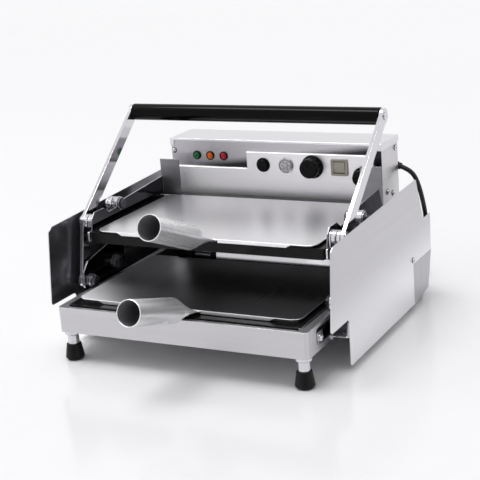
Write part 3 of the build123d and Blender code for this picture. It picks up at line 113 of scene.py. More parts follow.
def linear(code):
    """The linear colour of an sRGB hex code."""
    parts = [int(code[i : i + 2], 16) / 255 for i in (1, 3, 5)]
    return [p / 12.92 if p <= 0.04045 else ((p + 0.055) / 1.055) ** 2.4 for p in parts] + [1]


def add_node(tree, kind, settings=None, inputs=None):
    """Adds a node. An input is a plain value, or the output socket of another node."""
    node = tree.nodes.new(kind)
    for name, value in (settings or {}).items():
        setattr(node, name, value)
    for name, value in (inputs or {}).items():
        if isinstance(value, bpy.types.NodeSocket):
            tree.links.new(value, node.inputs[name])
        else:
            node.inputs[name].default_value = value
    return node


def finish(name, light, dark, grain, roughness, relief, run=(1, 1, 1), painted_fade=None, **shader):
    """A material with a grain of the given width in mm. The grain is drawn out along an axis where
    run is small there. Colour goes from light to dark, roughness between two values, and the
    relief is a strength and a depth in mm. The fade paints light or shade in: it is a
    direction, where it starts and ends along it in mm, and the colour and roughness that it leads
    to."""
    material = bpy.data.materials.new(name)
    material.use_nodes = True
    tree = material.node_tree
    tree.nodes.clear()
    fine_share, broad_share = 0.55, 0.45
    on_piece = add_node(tree, "ShaderNodeTexCoord").outputs["Object"]
    place = add_node(
        tree, "ShaderNodeMapping", {"vector_type": "POINT"}, {"Vector": on_piece, "Scale": run}
    ).outputs[0]
    fine = add_node(
        tree,
        "ShaderNodeTexNoise",
        inputs={"Vector": place, "Scale": 0.5 / (grain * mm), "Detail": 3.0, "Roughness": 0.55},
    ).outputs[0]
    broad = add_node(
        tree,
        "ShaderNodeTexNoise",
        inputs={"Vector": place, "Scale": 0.03 / (grain * mm), "Detail": 1.0},
    ).outputs[0]
    broad = add_node(
        tree, "ShaderNodeMath", {"operation": "MULTIPLY"}, {0: broad, 1: broad_share}
    ).outputs[0]
    blend = add_node(
        tree, "ShaderNodeMath", {"operation": "MULTIPLY_ADD"}, {0: fine, 1: fine_share, 2: broad}
    ).outputs[0]
    # Noise seldom leaves the range from 0.3 to 0.7, so that range is made the whole range.
    share = add_node(
        tree, "ShaderNodeMapRange", inputs={"Value": blend, "From Min": 0.3, "From Max": 0.7}
    ).outputs[0]
    colour = add_node(
        tree, "ShaderNodeMix", {"data_type": "RGBA"}, {0: share, 6: linear(dark), 7: linear(light)}
    ).outputs[2]
    rough = add_node(
        tree,
        "ShaderNodeMapRange",
        inputs={"Value": share, "To Min": roughness[1], "To Max": roughness[0]},
    ).outputs[0]
    # The fade is painted light or shade along a direction.
    if painted_fade:
        direction, start, stop, far_colour, far_rough = painted_fade
        along = add_node(
            tree, "ShaderNodeVectorMath", {"operation": "DOT_PRODUCT"}, {0: on_piece, 1: direction}
        ).outputs["Value"]
        reach = add_node(
            tree,
            "ShaderNodeMapRange",
            {"interpolation_type": "SMOOTHSTEP"},
            {"Value": along, "From Min": start * mm, "From Max": stop * mm},
        ).outputs[0]
        colour = add_node(
            tree,
            "ShaderNodeMix",
            {"data_type": "RGBA"},
            {0: reach, 6: colour, 7: linear(far_colour)},
        ).outputs[2]
        rough = add_node(
            tree, "ShaderNodeMix", inputs={0: reach, 2: rough, 3: far_rough}
        ).outputs[0]
    bumps = add_node(
        tree,
        "ShaderNodeBump",
        inputs={"Height": share, "Strength": relief[0], "Distance": relief[1] * mm},
    ).outputs[0]
    surface = add_node(
        tree,
        "ShaderNodeBsdfPrincipled",
        inputs={"Base Color": colour, "Roughness": rough, "Normal": bumps, **shader},
    )
    add_node(tree, "ShaderNodeOutputMaterial", inputs={"Surface": surface.outputs[0]})
    return material


def dress(material, *names):
    """Gives CAD pieces their finish."""
    for name in names:
        slots = frame["nodes"][name].data.materials
        for index in range(len(slots)):
            slots[index] = material


# Chloroprene rubber, extruded: almost smooth, with a dull satin sheen along the lead.
cord_rubber = finish(
    "chloroprene_rubber_extruded", "#1C1C1D", "#141415", 2, (0.36, 0.46), (0.1, 0.1), IOR=1.4
)
# Rubber, moulded: the mould's spark-eroded texture of about 0.1 mm, drawn at 1 mm so that it shows.
moulded_rubber = finish(
    "black_rubber_moulded", "#202021", "#151516", 1, (0.45, 0.6), (0.3, 0.12), IOR=1.4
)
coil_points = []
for step in range(1, coil_steps + 1):
    half_turn, part = divmod(step, steps_a_half_turn)
    share = part / steps_a_half_turn
    after = min(half_turn + 1, len(coil_radii) - 1)
    radius = coil_radii[half_turn] * (1 - share) + coil_radii[after] * share
    radius /= cos(pi / (2 * steps_a_half_turn))
    height = coil_heights[half_turn] * (1 - share) + coil_heights[after] * share
    angle = pi * step / steps_a_half_turn
    coil_points.append(
        (coil_middle[0] + radius * cos(angle), coil_middle[1] + radius * sin(angle), height)
    )
cord_curve = bpy.data.curves.new("mains_cord", "CURVE")
cord_curve.dimensions = "3D"
cord_curve.bevel_depth = cord_diameter / 2
cord_curve.bevel_resolution = 6
cord_curve.resolution_u = 8
cord_curve.use_fill_caps = True
spline = cord_curve.splines.new("NURBS")
cord_points = [*cord_run, *coil_points, cord_end]
spline.points.add(len(cord_points) - 1)
for point, place in zip(spline.points, cord_points):
    point.co = (place[0] * mm, place[1] * mm, place[2] * mm, 1)
spline.order_u = 3
spline.use_endpoint_u = True
cord_curve.materials.append(cord_rubber)
mains_cord = bpy.data.objects.new("mains_cord", cord_curve)
bpy.context.scene.collection.objects.link(mains_cord)
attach(mains_cord, "body")
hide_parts("cord_free", "cord_coil")
dress(moulded_rubber, "cable_gland", "plug")


# Stage: a white lacquered studio table under a large diffused source, with a strip light above the
# machine and a softbox on the left. The end of the studio behind the camera is unlit, which
# polished metal mirrors as a soft dark patch.
floor_half = 14
corners = ((-1, -1), (1, -1), (1, 1), (-1, 1))
floor_mesh = bpy.data.meshes.new("studio_floor")
floor_mesh.from_pydata(
    [(x * floor_half, y * floor_half, 0) for x, y in corners], [], [(0, 1, 2, 3)]
)
floor = bpy.data.objects.new("studio_floor", floor_mesh)
bpy.context.scene.collection.objects.link(floor)
# Lacquered board: even white, with a weak, slightly blurred reflection of what stands on it.
floor_mesh.materials.append(
    finish("white_board_lacquered", "#F8F8F9", "#F6F6F7", 25, (0.12, 0.16), (0.0, 0.1), IOR=1.36)
)

world = bpy.data.worlds.new("studio_world")
bpy.context.scene.world = world
world.use_nodes = True
room = world.node_tree
room.nodes.clear()
ambient_colour, ambient_strength = "#F6F6F8", 0.6
backdrop_colour, backdrop_strength = "#FAFAFB", 1.0
unlit_colour = "#707074"
unlit_end = (0.42, -0.89, 0.18)
unlit_edge, unlit_middle = 0.86, 0.99
paths = add_node(room, "ShaderNodeLightPath").outputs
seen = paths["Is Camera Ray"]
for other_path in ("Is Glossy Ray", "Is Transmission Ray"):
    seen = add_node(
        room, "ShaderNodeMath", {"operation": "MAXIMUM"}, {0: seen, 1: paths[other_path]}
    ).outputs[0]
toward = add_node(
    room,
    "ShaderNodeVectorMath",
    {"operation": "DOT_PRODUCT"},
    {0: add_node(room, "ShaderNodeTexCoord").outputs["Generated"], 1: unlit_end},
).outputs["Value"]
unlit = add_node(
    room,
    "ShaderNodeMapRange",
    {"interpolation_type": "SMOOTHSTEP"},
    {"Value": toward, "From Min": unlit_edge, "From Max": unlit_middle},
).outputs[0]
mirrored = add_node(
    room, "ShaderNodeMath", {"operation": "MULTIPLY"}, {0: unlit, 1: paths["Is Glossy Ray"]}
).outputs[0]
backdrop = add_node(
    room,
    "ShaderNodeMix",
    {"data_type": "RGBA"},
    {0: mirrored, 6: linear(backdrop_colour), 7: linear(unlit_colour)},
).outputs[2]
ambient = add_node(
    room,
    "ShaderNodeBackground",
    inputs={"Color": linear(ambient_colour), "Strength": ambient_strength},
).outputs[0]
white = add_node(
    room, "ShaderNodeBackground", inputs={"Color": backdrop, "Strength": backdrop_strength}
).outputs[0]
mixed = add_node(room, "ShaderNodeMixShader", inputs={0: seen, 1: ambient, 2: white}).outputs[0]
add_node(room, "ShaderNodeOutputWorld", inputs={"Surface": mixed})


def soft_light(name, kind, place, target, energy, **settings):
    """A lamp at one point that looks at another."""
    data = bpy.data.lights.new(name, kind)
    data.energy = energy
    for key, value in settings.items():
        setattr(data, key, value)
    lamp = bpy.data.objects.new(name, data)
    aim = (Vector(target) - Vector(place)).to_track_quat("-Z", "Y")
    lamp.matrix_world = Matrix.Translation(place) @ aim.to_matrix().to_4x4()
    bpy.context.scene.collection.objects.link(lamp)
    return lamp


# The top light comes through a diffuser that metal doesn't mirror. What metal and the black grip
# do mirror is the strip light, and it lights nothing else.
sheet_energy, sheet_spread = 1.4, radians(36)
strip_energy, strip_size = 42, (2.2, 0.6)
softbox_energy, softbox_size = 9, (1.6, 1.8)
sheet_light = soft_light(
    "top_sheet", "SUN", (-0.7, -0.2, 3), (0, 0, 0), sheet_energy, angle=sheet_spread
)
sheet_light.visible_glossy = False
strip_light = soft_light(
    "strip",
    "AREA",
    (-0.2, -0.4, 2.2),
    (0, 0.13, 0.34),
    strip_energy,
    shape="RECTANGLE",
    size=strip_size[0],
    size_y=strip_size[1],
)
strip_light.visible_diffuse = False
soft_light(
    "left_softbox",
    "AREA",
    (-2.3, -0.9, 1.5),
    (0, 0, 0.15),
    softbox_energy,
    shape="RECTANGLE",
    size=softbox_size[0],
    size_y=softbox_size[1],
)

# Base: a shallow channel folded from 1.5 mm stainless sheet, with cut-outs in its sides, on which
# everything stands. Its sheet is brushed along the machine's width.


def make_piece(name, mesh, body, slot, *nodes):
    """Puts a finished mesh in the scene, on its CAD body, in place of CAD nodes."""
    piece = bpy.data.objects.new(name, mesh)
    bpy.context.scene.collection.objects.link(piece)
    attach(piece, body)
    if nodes:
        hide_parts(*nodes)
    return piece


def mesh_of(form, name, *materials):
    """The mesh of a finished form, in its finishes."""
    mesh = bpy.data.meshes.new(name)
    form.to_mesh(mesh)
    form.free()
    for material in materials:
        mesh.materials.append(material)
    return mesh


# How nearly a face has to look along an axis to count as looking that way.
squarely = 0.9
# Points nearer than this in metres are one point, faces this nearly in one plane are one face, and
# edges that turn by more than this are sharp.
merge_distance = 1e-6
coplanar_within = radians(0.4)
sharp_beyond = radians(35)


def looks_inward(normal, middle):
    """Whether a face looks at the machine's middle plane."""
    return normal.x * middle.x < -squarely * abs(middle.x)


def looks_sideways(normal, middle):
    """Whether a face looks left or right."""
    return abs(normal.x) > squarely


def looks_ahead(normal, middle):
    """Whether a face looks at the machine's front."""
    return normal.y < -squarely


def looks_up(normal, middle):
    """Whether a face looks up."""
    return normal.z > squarely


def softened(name, edge, material, slot, *others, segments=2):
    """A copy of a CAD piece that stands for it, with its sharp edges eased by some mm, as
    deburring leaves them. Others are further finishes, each with the test that says which faces
    take it."""
    source = frame["nodes"][name]
    form = bmesh.new()
    form.from_mesh(source.data)
    bmesh.ops.remove_doubles(form, verts=form.verts, dist=merge_distance)
    bmesh.ops.dissolve_limit(form, angle_limit=coplanar_within, verts=form.verts, edges=form.edges)
    for face in form.faces:
        face.smooth = True
        for index, (other, takes_it) in enumerate(others, 1):
            if takes_it(face.normal, face.calc_center_median()):
                face.material_index = index
    mesh = mesh_of(form, name + "_eased", material, *(other for other, takes_it in others))
    if "custom_normal" in mesh.attributes:
        mesh.attributes.remove(mesh.attributes["custom_normal"])
    piece = make_piece(name + "_eased", mesh, source["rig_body"], slot, name)
    bevel = piece.modifiers.new("eased_edges", "BEVEL")
    bevel.width = edge * mm
    bevel.segments = segments
    bevel.limit_method = "ANGLE"
    bevel.angle_limit = sharp_beyond
    bevel.use_clamp_overlap = False
    bevel.harden_normals = True


# Stainless 304, brushed with 240 grit: a soft, even satin sheen with hardly visible lines. The
# lines of 0.1 mm are drawn 3 mm wide so that a trace of them shows.
brushed_steel = finish(
    "stainless_304_brushed",
    "#CDCBCD",
    "#C8C6C9",
    3,
    (0.29, 0.33),
    (0.006, 0.03),
    (0.02, 1, 1),
    Metallic=1.0,
)
# The flange's top faces take a paler, duller copy of the sheet: the paleness is painted light.
flange_painted_light = finish(
    "stainless_304_flange_painted_light",
    "#DEDDE0",
    "#D6D5D8",
    4,
    (0.34, 0.4),
    (0.01, 0.03),
    (1, 0.05, 1),
    Metallic=1.0,
)
softened("base_frame", 0.5, brushed_steel, "satin_steel", (flange_painted_light, looks_up))
dress(brushed_steel, "base_bottom_cover")

# Feet: turned steel stems, and moulded rubber cups on the two at the front.
# Zinc plate, bright: almost a mirror, a little milky.
bright_zinc = finish(
    "steel_bright_zinc_plated", "#DCDCE0", "#D2D2D7", 4, (0.12, 0.18), (0.02, 0.05), Metallic=0.88
)
# Natural rubber, moulded: deep black with a soft sheen where the cup is round.
foot_rubber = finish(
    "black_rubber_moulded_cup", "#121213", "#0A0A0B", 1.5, (0.32, 0.45), (0.2, 0.12), IOR=1.28
)
softened("steel_feet", 0.4, bright_zinc, "zinc_steel")
softened("rubber_feet", 0.5, foot_rubber, "black_rubber")

# Lower platen: a folded pan of bright sheet on two bearers, with a ground plate in it and a
# heating element under it, and behind it a small black wiring cover with a ribbed metal hose.
# Stainless 304, bright annealed: bright, with reflections that blur at their edges.
bright_sheet = finish(
    "stainless_304_bright_annealed",
    "#D9D8DB",
    "#D0CFD3",
    6,
    (0.18, 0.24),
    (0.02, 0.04),
    (0.1, 1, 1),
    Metallic=1.0,
)
# Cast aluminium, ground: dull grey with a fine grain of about 0.5 mm, drawn at 1.5 mm.
ground_plate = finish(
    "cast_aluminium_ground", "#6B6B6C", "#4C4C4E", 1.5, (0.35, 0.5), (0.3, 0.1), Metallic=1.0
)
# Heating element: oxidised steel tube, brownish and dull.
element_sheath = finish(
    "steel_tube_oxidised", "#3A3530", "#22201E", 2, (0.5, 0.65), (0.3, 0.1), Metallic=0.6
)
# Enamel, stoved: deep black, smooth, with a faint ripple in its reflections.
black_enamel = finish(
    "black_enamel_stoved", "#171718", "#0F0F10", 4, (0.16, 0.24), (0.04, 0.1), IOR=1.25
)
# Release coating, sprayed on cast iron: a matt black that swallows most light.
black_coating = finish(
    "cast_iron_release_coated", "#131314", "#0B0B0C", 1, (0.45, 0.6), (0.3, 0.1), IOR=1.35
)
# The pan is bright on its sides and black on faces that look inward and ahead, and on its rim tops,
# where the black is painted shadow of the gap under the tray's lip.
softened(
    "lower_platen_pan",
    0.4,
    bright_sheet,
    "satin_steel",
    (black_enamel, looks_inward),
    (black_enamel, looks_ahead),
    # Painted shadow: the rim tops are black where the gap under the tray lies in shade.
    (black_enamel, looks_up),
)
dress(ground_plate, "lower_hot_plate", "pan_bearers", "upper_deck_plate")
dress(element_sheath, "lower_heating_element", "upper_heating_element")
dress(black_coating, "upper_face_plate")
softened("wiring_cover", 0.4, black_enamel, "black_enamel")
softened("side_brackets", 0.3, bright_zinc, "zinc_steel")


def new_tree(name, inputs):
    """An empty geometry tree with named inputs, and the sockets at which they arrive in it."""
    tree = bpy.data.node_groups.new(name, "GeometryNodeTree")
    for title, kind in {"Geometry": "Geometry", **inputs, "Finish": "Material"}.items():
        tree.interface.new_socket(title, in_out="INPUT", socket_type="NodeSocket" + kind)
    tree.interface.new_socket("Geometry", in_out="OUTPUT", socket_type="NodeSocketGeometry")
    return tree, add_node(tree, "NodeGroupInput").outputs


def end_tree(tree, shape, given):
    """Ends a tree: what it made becomes plain geometry in the finish that it was given."""
    shape = add_node(tree, "GeometryNodeRealizeInstances", inputs={"Geometry": shape}).outputs[0]
    shape = add_node(
        tree, "GeometryNodeSetMaterial", inputs={"Geometry": shape, "Material": given["Finish"]}
    ).outputs[0]
    add_node(tree, "NodeGroupOutput", inputs={"Geometry": shape})


def run_tree(tree, mesh, values):
    """The plain mesh that a geometry tree makes of a mesh, with its named inputs set."""
    carrier = bpy.data.objects.new("carrier", mesh)
    bpy.context.scene.collection.objects.link(carrier)
    modifier = carrier.modifiers.new("tree", "NODES")
    modifier.node_group = tree
    for item in tree.interface.items_tree:
        if item.in_out == "INPUT" and item.name in values:
            modifier[item.identifier] = values[item.name]
    bpy.context.view_layer.update()
    made = bpy.data.meshes.new_from_object(
        carrier.evaluated_get(bpy.context.evaluated_depsgraph_get())
    )
    carrier.modifiers.remove(modifier)
    bpy.data.objects.remove(carrier)
    made.shade_smooth()
    made.set_sharp_from_angle(angle=radians(30))
    return made


hose_radius = 5
hose_line = [(-120, 117.9, 99), (-108, 117.9, 99.2), (-97, 117.9, 98.6), (-90, 117.9, 97.5)]
hose_tree, given = new_tree(
    "ribbed_hose", {"Hose Radius": "Float", "Rib Depth": "Float", "Rings": "Int"}
)
line = add_node(hose_tree, "GeometryNodeMeshToCurve", inputs={"Mesh": given["Geometry"]}).outputs[0]
line = add_node(
    hose_tree, "GeometryNodeResampleCurve", inputs={"Curve": line, "Count": given["Rings"]}
).outputs[0]
index = add_node(hose_tree, "GeometryNodeInputIndex").outputs[0]
phase = add_node(
    hose_tree, "ShaderNodeMath", {"operation": "MULTIPLY"}, {0: index, 1: pi / 2}
).outputs[0]
wave = add_node(hose_tree, "ShaderNodeMath", {"operation": "SINE"}, {0: phase}).outputs[0]
swell = add_node(
    hose_tree,
    "ShaderNodeMath",
    {"operation": "MULTIPLY_ADD"},
    {0: wave, 1: given["Rib Depth"], 2: 1.0},
).outputs[0]
ring = add_node(
    hose_tree,
    "GeometryNodeCurvePrimitiveCircle",
    inputs={"Resolution": 16, "Radius": given["Hose Radius"]},
).outputs[0]
skin = add_node(
    hose_tree,
    "GeometryNodeCurveToMesh",
    inputs={"Curve": line, "Profile Curve": ring, "Scale": swell, "Fill Caps": True},
).outputs[0]
end_tree(hose_tree, skin, given)
hose_mesh = bpy.data.meshes.new("hose_line")
hose_mesh.from_pydata(
    [[v * mm for v in place] for place in hose_line],
    [(i, i + 1) for i in range(len(hose_line) - 1)],
    [],
)
hose_mesh = run_tree(
    hose_tree,
    hose_mesh,
    {"Hose Radius": hose_radius * mm, "Rib Depth": 0.09, "Rings": 41, "Finish": bright_zinc},
)
make_piece("wiring_hose", hose_mesh, "body", "zinc_steel", "wiring_conduit")

# Pivots: laser-cut plates on the base sides, and eight hex bolts with washers, collars and nuts
# threaded on them. The lever and the rear links turn on these.
# Stainless 304, mirror polished and painted a dark grey: painted dark reflection of the machine's
# shaded inside, on faces that look inward or across it.
painted_dark_reflection_steel = finish(
    "stainless_304_painted_dark_reflection",
    "#505055",
    "#48484D",
    12,
    (0.03, 0.06),
    (0.01, 0.06),
    (1, 0.3, 1),
    Metallic=1.0,
)
# Each pivot: its place (y, z), and how thick the bar or link is that turns on it.
pivot_places = {
    "c": (-65.1, 102, 6),
    "d": (10.9, 112, 4),
    "a": (-45.1, 197, 6),
    "b": (30.9, 207, 4),
}
arm_inner = 226
hex_radius = 8.0
ring_edge_break = 0.08
# A ring's number of sides also says what it is: a hex, a shank, a lock washer or a collar. Hexes
# and lock washers are painted dark, a painted dark reflection between the bright collars.
hex_sides, shank_sides, lock_sides, collar_sides = 6, 20, 26, 28
# Each ring: where it starts and ends sideways, its radius and its number of sides.
outer_rings = (
    (0.1, 1.6, 9.5, collar_sides),
    (1.6, 5.6, hex_radius, hex_sides),
    (5.6, 6.4, 5, shank_sides),
)
base_rings = (
    (204.5, 211.5, 9.6, hex_sides),
    (211.5, 213.6, 11.2, collar_sides),
    (213.6, 216.4, 8.4, lock_sides),
    (216.4, 219, 11, collar_sides),
    (219, 226, 5, shank_sides),
    (222, 223.7, 10.2, collar_sides),
    (223.7, 224.6, 9, lock_sides),
    (224.6, 225.9, 9.6, collar_sides),
)
platen_rings = (
    (208.1, 226, 5, shank_sides),
    (211, 218.4, 11.3, collar_sides),
    (218.4, 219.6, 10, lock_sides),
    (219.6, 225.9, 11.3, collar_sides),
)
notch_rings = (
    (200.2, 203.8, 8.6, hex_sides),
    (203.8, 204.7, 10, lock_sides),
    (204.7, 205.9, 10.8, collar_sides),
    (205.9, 208.1, 5, shank_sides),
)


def lifted(tree, shape, height):
    """A shape moved up by a height."""
    lift = add_node(tree, "ShaderNodeCombineXYZ", inputs={"Z": height}).outputs[0]
    return add_node(
        tree, "GeometryNodeTransform", inputs={"Geometry": shape, "Translation": lift}
    ).outputs[0]


def stacked(tree, sides, stages, top, weld):
    """A closed solid of cones on one another, up to its top. Each stage is where it starts, its
    height, and its radii below and above. Points nearer than weld are one point."""
    shells = add_node(tree, "GeometryNodeJoinGeometry")
    for low, depth, low_radius, high_radius in stages:
        shell = add_node(
            tree,
            "GeometryNodeMeshCone",
            {"fill_type": "NONE"},
            {
                "Vertices": sides,
                "Radius Bottom": low_radius,
                "Radius Top": high_radius,
                "Depth": depth,
            },
        ).outputs[0]
        tree.links.new(lifted(tree, shell, low), shells.inputs[0])
    for radius, height, faces_down in ((stages[0][2], 0.0, True), (stages[-1][3], top, False)):
        end = add_node(
            tree,
            "GeometryNodeMeshCircle",
            {"fill_type": "NGON"},
            {"Vertices": sides, "Radius": radius},
        ).outputs[0]
        if faces_down:
            end = add_node(tree, "GeometryNodeFlipFaces", inputs={"Mesh": end}).outputs[0]
        tree.links.new(lifted(tree, end, height), shells.inputs[0])
    return add_node(
        tree,
        "GeometryNodeMergeByDistance",
        inputs={"Geometry": shells.outputs[0], "Distance": weld},
    ).outputs[0]


def set_out(tree, shape, given, **sizes):
    """Ends a tree with a shape on every point, its Z turned to the direction stored there."""
    outward = add_node(
        tree,
        "GeometryNodeInputNamedAttribute",
        {"data_type": "FLOAT_VECTOR"},
        {"Name": "outward"},
    ).outputs[0]
    turn = add_node(
        tree, "FunctionNodeAlignRotationToVector", {"axis": "Z"}, {"Vector": outward}
    ).outputs[0]
    shapes = add_node(
        tree,
        "GeometryNodeInstanceOnPoints",
        inputs={"Points": given["Geometry"], "Instance": shape, "Rotation": turn, **sizes},
    ).outputs[0]
    end_tree(tree, shapes, given)


# One ring of height and radius 1. Its edges are broken by a share of the radius, and 1.6 times as
# far down as inwards.
break_slope = 1.6
ring_tree, given = new_tree("rings_on_bolts", {"Sides": "Int", "Edge Break": "Float"})
break_depth = add_node(
    ring_tree, "ShaderNodeMath", {"operation": "MULTIPLY"}, {0: given["Edge Break"], 1: break_slope}
).outputs[0]
waist = add_node(
    ring_tree, "ShaderNodeMath", {"operation": "MULTIPLY_ADD"}, {0: break_depth, 1: -2.0, 2: 1.0}
).outputs[0]
top_start = add_node(
    ring_tree, "ShaderNodeMath", {"operation": "SUBTRACT"}, {0: 1.0, 1: break_depth}
).outputs[0]
end_radius = add_node(
    ring_tree, "ShaderNodeMath", {"operation": "SUBTRACT"}, {0: 1.0, 1: given["Edge Break"]}
).outputs[0]
ring_stages = (
    (0.0, break_depth, end_radius, 1.0),
    (break_depth, waist, 1.0, 1.0),
    (top_start, break_depth, 1.0, end_radius),
)
unit_ring = stacked(ring_tree, given["Sides"], ring_stages, 1.0, 0.001)
size = add_node(
    ring_tree, "GeometryNodeInputNamedAttribute", {"data_type": "FLOAT_VECTOR"}, {"Name": "size"}
).outputs[0]
set_out(ring_tree, unit_ring, given, Scale=size)


def placed_points(rows):
    """A mesh of points, each with the direction it faces and the size of what goes there."""
    mesh = bpy.data.meshes.new("places")
    mesh.from_pydata([[v * mm for v in place] for place, outward, size in rows], [], [])
    for name, column in (("outward", 1), ("size", 2)):
        values = mesh.attributes.new(name, "FLOAT_VECTOR", "POINT").data
        for entry, row in zip(values, rows):
            entry.vector = row[column]
    return mesh


def joined(name, meshes):
    """One mesh of several."""
    form = bmesh.new()
    for index, mesh in enumerate(meshes):
        before = len(form.faces)
        form.from_mesh(mesh)
        form.faces.ensure_lookup_table()
        for face in form.faces[before:]:
            face.material_index = index
    # A tree can leave an empty slot before the one that its faces use.
    used = [mesh.materials[mesh.polygons[0].material_index] for mesh in meshes]
    whole = mesh_of(form, name, *used)
    whole.set_sharp_from_angle(angle=radians(30))
    return whole


# Steel painted dark grey with a satin sheen, for the hexes and the lock washers: painted dark
# reflection between the bright rings of the pivot stacks, and painted shadow round the screw heads.
painted_dark_steel = finish(
    "steel_painted_dark", "#66666A", "#58585C", 3, (0.2, 0.28), (0.05, 0.05), Metallic=0.85
)


def threaded(name, stacks, body, slot, *nodes):
    """Rings on bolts, on both sides. A stack is a place (y, z) and its rings."""
    rows = {}
    for (y, z), rings_there in stacks:
        for start, stop, radius, sides in rings_there:
            for side in (1, -1):
                rows.setdefault(sides, []).append(
                    (
                        (side * start, y, z),
                        (side, 0, 0),
                        (radius * mm, radius * mm, (stop - start) * mm),
                    )
                )
    meshes = []
    for sides in sorted(rows):
        # Painted dark reflection: hexes and lock washers take the dark steel.
        dark = sides in (hex_sides, lock_sides)
        values = {
            "Sides": sides,
            "Edge Break": ring_edge_break,
            "Finish": painted_dark_steel if dark else bright_zinc,
        }
        meshes.append(run_tree(ring_tree, placed_points(rows[sides]), values))
    make_piece(name, joined(name, meshes), body, slot, *nodes)


def outer_stack(key):
    """The washer, nut and bolt end outside a lever bar."""
    face = arm_inner + pivot_places[key][2]
    return tuple((face + a, face + b, radius, sides) for a, b, radius, sides in outer_rings)


# Painted dark reflection on the faces that look inward.
softened("pivot_plates", 0.4, bright_sheet, "satin_steel", (painted_dark_reflection_steel, looks_inward))
threaded(
    "base_pivot_stacks",
    [(pivot_places[key][:2], base_rings + outer_stack(key)) for key in "cd"],
    "body",
    "zinc_steel",
    "base_pivot_bolts",
    "base_pivot_nuts",
)
threaded(
    "platen_pivot_stacks",
    [
        (pivot_places["a"][:2], platen_rings + outer_stack("a")),
        (pivot_places["b"][:2], platen_rings + notch_rings + outer_stack("b")),
    ],
    "platen",
    "zinc_steel",
    "platen_pivot_bolts",
    "platen_pivot_nuts",
)
softened("link_stops", 0.4, foot_rubber, "black_rubber")

# Lever: two cranked bars cut from 6 mm flat steel, joined by a black grip on a steel rod.
# Stainless 304, polished along the bar: light, with clear reflections that blur a little.
polished_bar = finish(
    "stainless_304_polished_bar",
    "#D8D6DA",
    "#D2D0D4",
    6,
    (0.07, 0.11),
    (0.01, 0.04),
    (1, 0.08, 0.08),
    Metallic=1.0,
)
# Phenolic resin, turned and polished: piano black, with one long reflection of the strip light.
grip_black = finish(
    "phenolic_resin_polished", "#060607", "#050506", 5, (0.12, 0.16), (0.01, 0.05), IOR=1.18
)
softened("left_arm", 0.8, polished_bar, "arm_steel", segments=3)
softened("right_arm", 0.8, polished_bar, "arm_steel", segments=3)
softened("rear_links", 0.6, bright_zinc, "zinc_steel")
softened("grip_sleeve", 0.8, grip_black, "black_grip", segments=3)
softened("grip_bolts", 0.3, bright_zinc, "zinc_steel")
dress(polished_bar, "grip_rod")

# Upper platen: a black enamelled casing between the bright brackets that hang it from the lever.
softened("upper_platen_casing", 0.7, black_enamel, "black_enamel")
softened("platen_brackets", 0.5, bright_sheet, "satin_steel")

# Bun guards: 2 mm sheet with a turned-in stop at the back, screwed to the platen's sides.
# Stainless 304, brushed: the stops are a soft dark grey beside the polished sides.
stop_steel = finish(
    "stainless_304_brushed_stop",
    "#8E8E92",
    "#848488",
    4,
    (0.36, 0.42),
    (0.01, 0.03),
    (0.05, 1, 1),
    Metallic=1.0,
)
for name in ("left_bun_guard", "right_bun_guard"):
    softened(
        name,
        0.5,
        bright_sheet,
        "satin_steel",
        # Painted dark reflection on both sides of each guard.
        (painted_dark_reflection_steel, looks_sideways),
        (stop_steel, looks_ahead),
    )

# Bun trays: sheets that slide out by a tube handle. The tube is pressed flat where it is welded
# under the tray.
# Stainless 304, cold rolled and scoured from front to back: light, with long blurred reflections,
# and painted shade that makes it a shade darker at the back.
tray_sheet = finish(
    "stainless_304_cold_rolled",
    "#F4F3F5",
    "#EFEEF0",
    9,
    (0.29, 0.34),
    (0.01, 0.1),
    (1, 0.1, 1),
    # Painted shade: darker towards the back.
    painted_fade=((0, 1, 0), -60, 80, "#CFCED1", 0.3),
    Metallic=0.92,
)
# Stainless tube, belt polished along its length: satin, with long streaks of highlight.
satin_tube = finish(
    "stainless_tube_belt_polished",
    "#FAFAFB",
    "#F4F4F6",
    3,
    (0.24, 0.3),
    (0.01, 0.04),
    (1, 0.04, 0.04),
    Metallic=0.62,
)
# Inside, the tube takes a duller grey copy of its steel: painted shade in its bore.
tube_bore_painted_shade = finish(
    "stainless_tube_bore_painted_shade",
    "#B6B6BA",
    "#ACACB0",
    3,
    (0.28, 0.34),
    (0.01, 0.04),
    (1, 0.04, 0.04),
    Metallic=0.6,
)
# The lower tray's top: the same sheet painted dark grey, painted shade and dark reflection under
# the upper platen, with painted light that makes its front left corner pale and dull.
tray_top_painted_light_and_shade = finish(
    "stainless_304_tray_painted_shade",
    "#96969A",
    "#8C8C90",
    9,
    (0.26, 0.32),
    (0.01, 0.1),
    (1, 0.1, 1),
    # Painted light: the front left corner goes pale and dull.
    painted_fade=((-0.8, -0.6, 0), 110, 235, "#F0F0F2", 0.55),
    Metallic=0.95,
)
softened("lower_tray", 0.7, tray_sheet, "tray_steel", (tray_top_painted_light_and_shade, looks_up))
softened("upper_tray", 0.7, tray_sheet, "tray_steel")

tube_radius = 20
tube_wall = 1.5
tube_lip = 0.4
least_gap = 0.6
tube_length = 157
taper_length = 50
flat_half_width = 29
flat_half_height = 2.5
ring_steps = 56
# Each stage of the taper: the share of its length, and how round the tube is there.
taper_stages = ((0, 0), (0.1, 0.01), (0.18, 0.04), (0.3, 0.2), (0.5, 0.56), (0.66, 0.9), (0.72, 1))


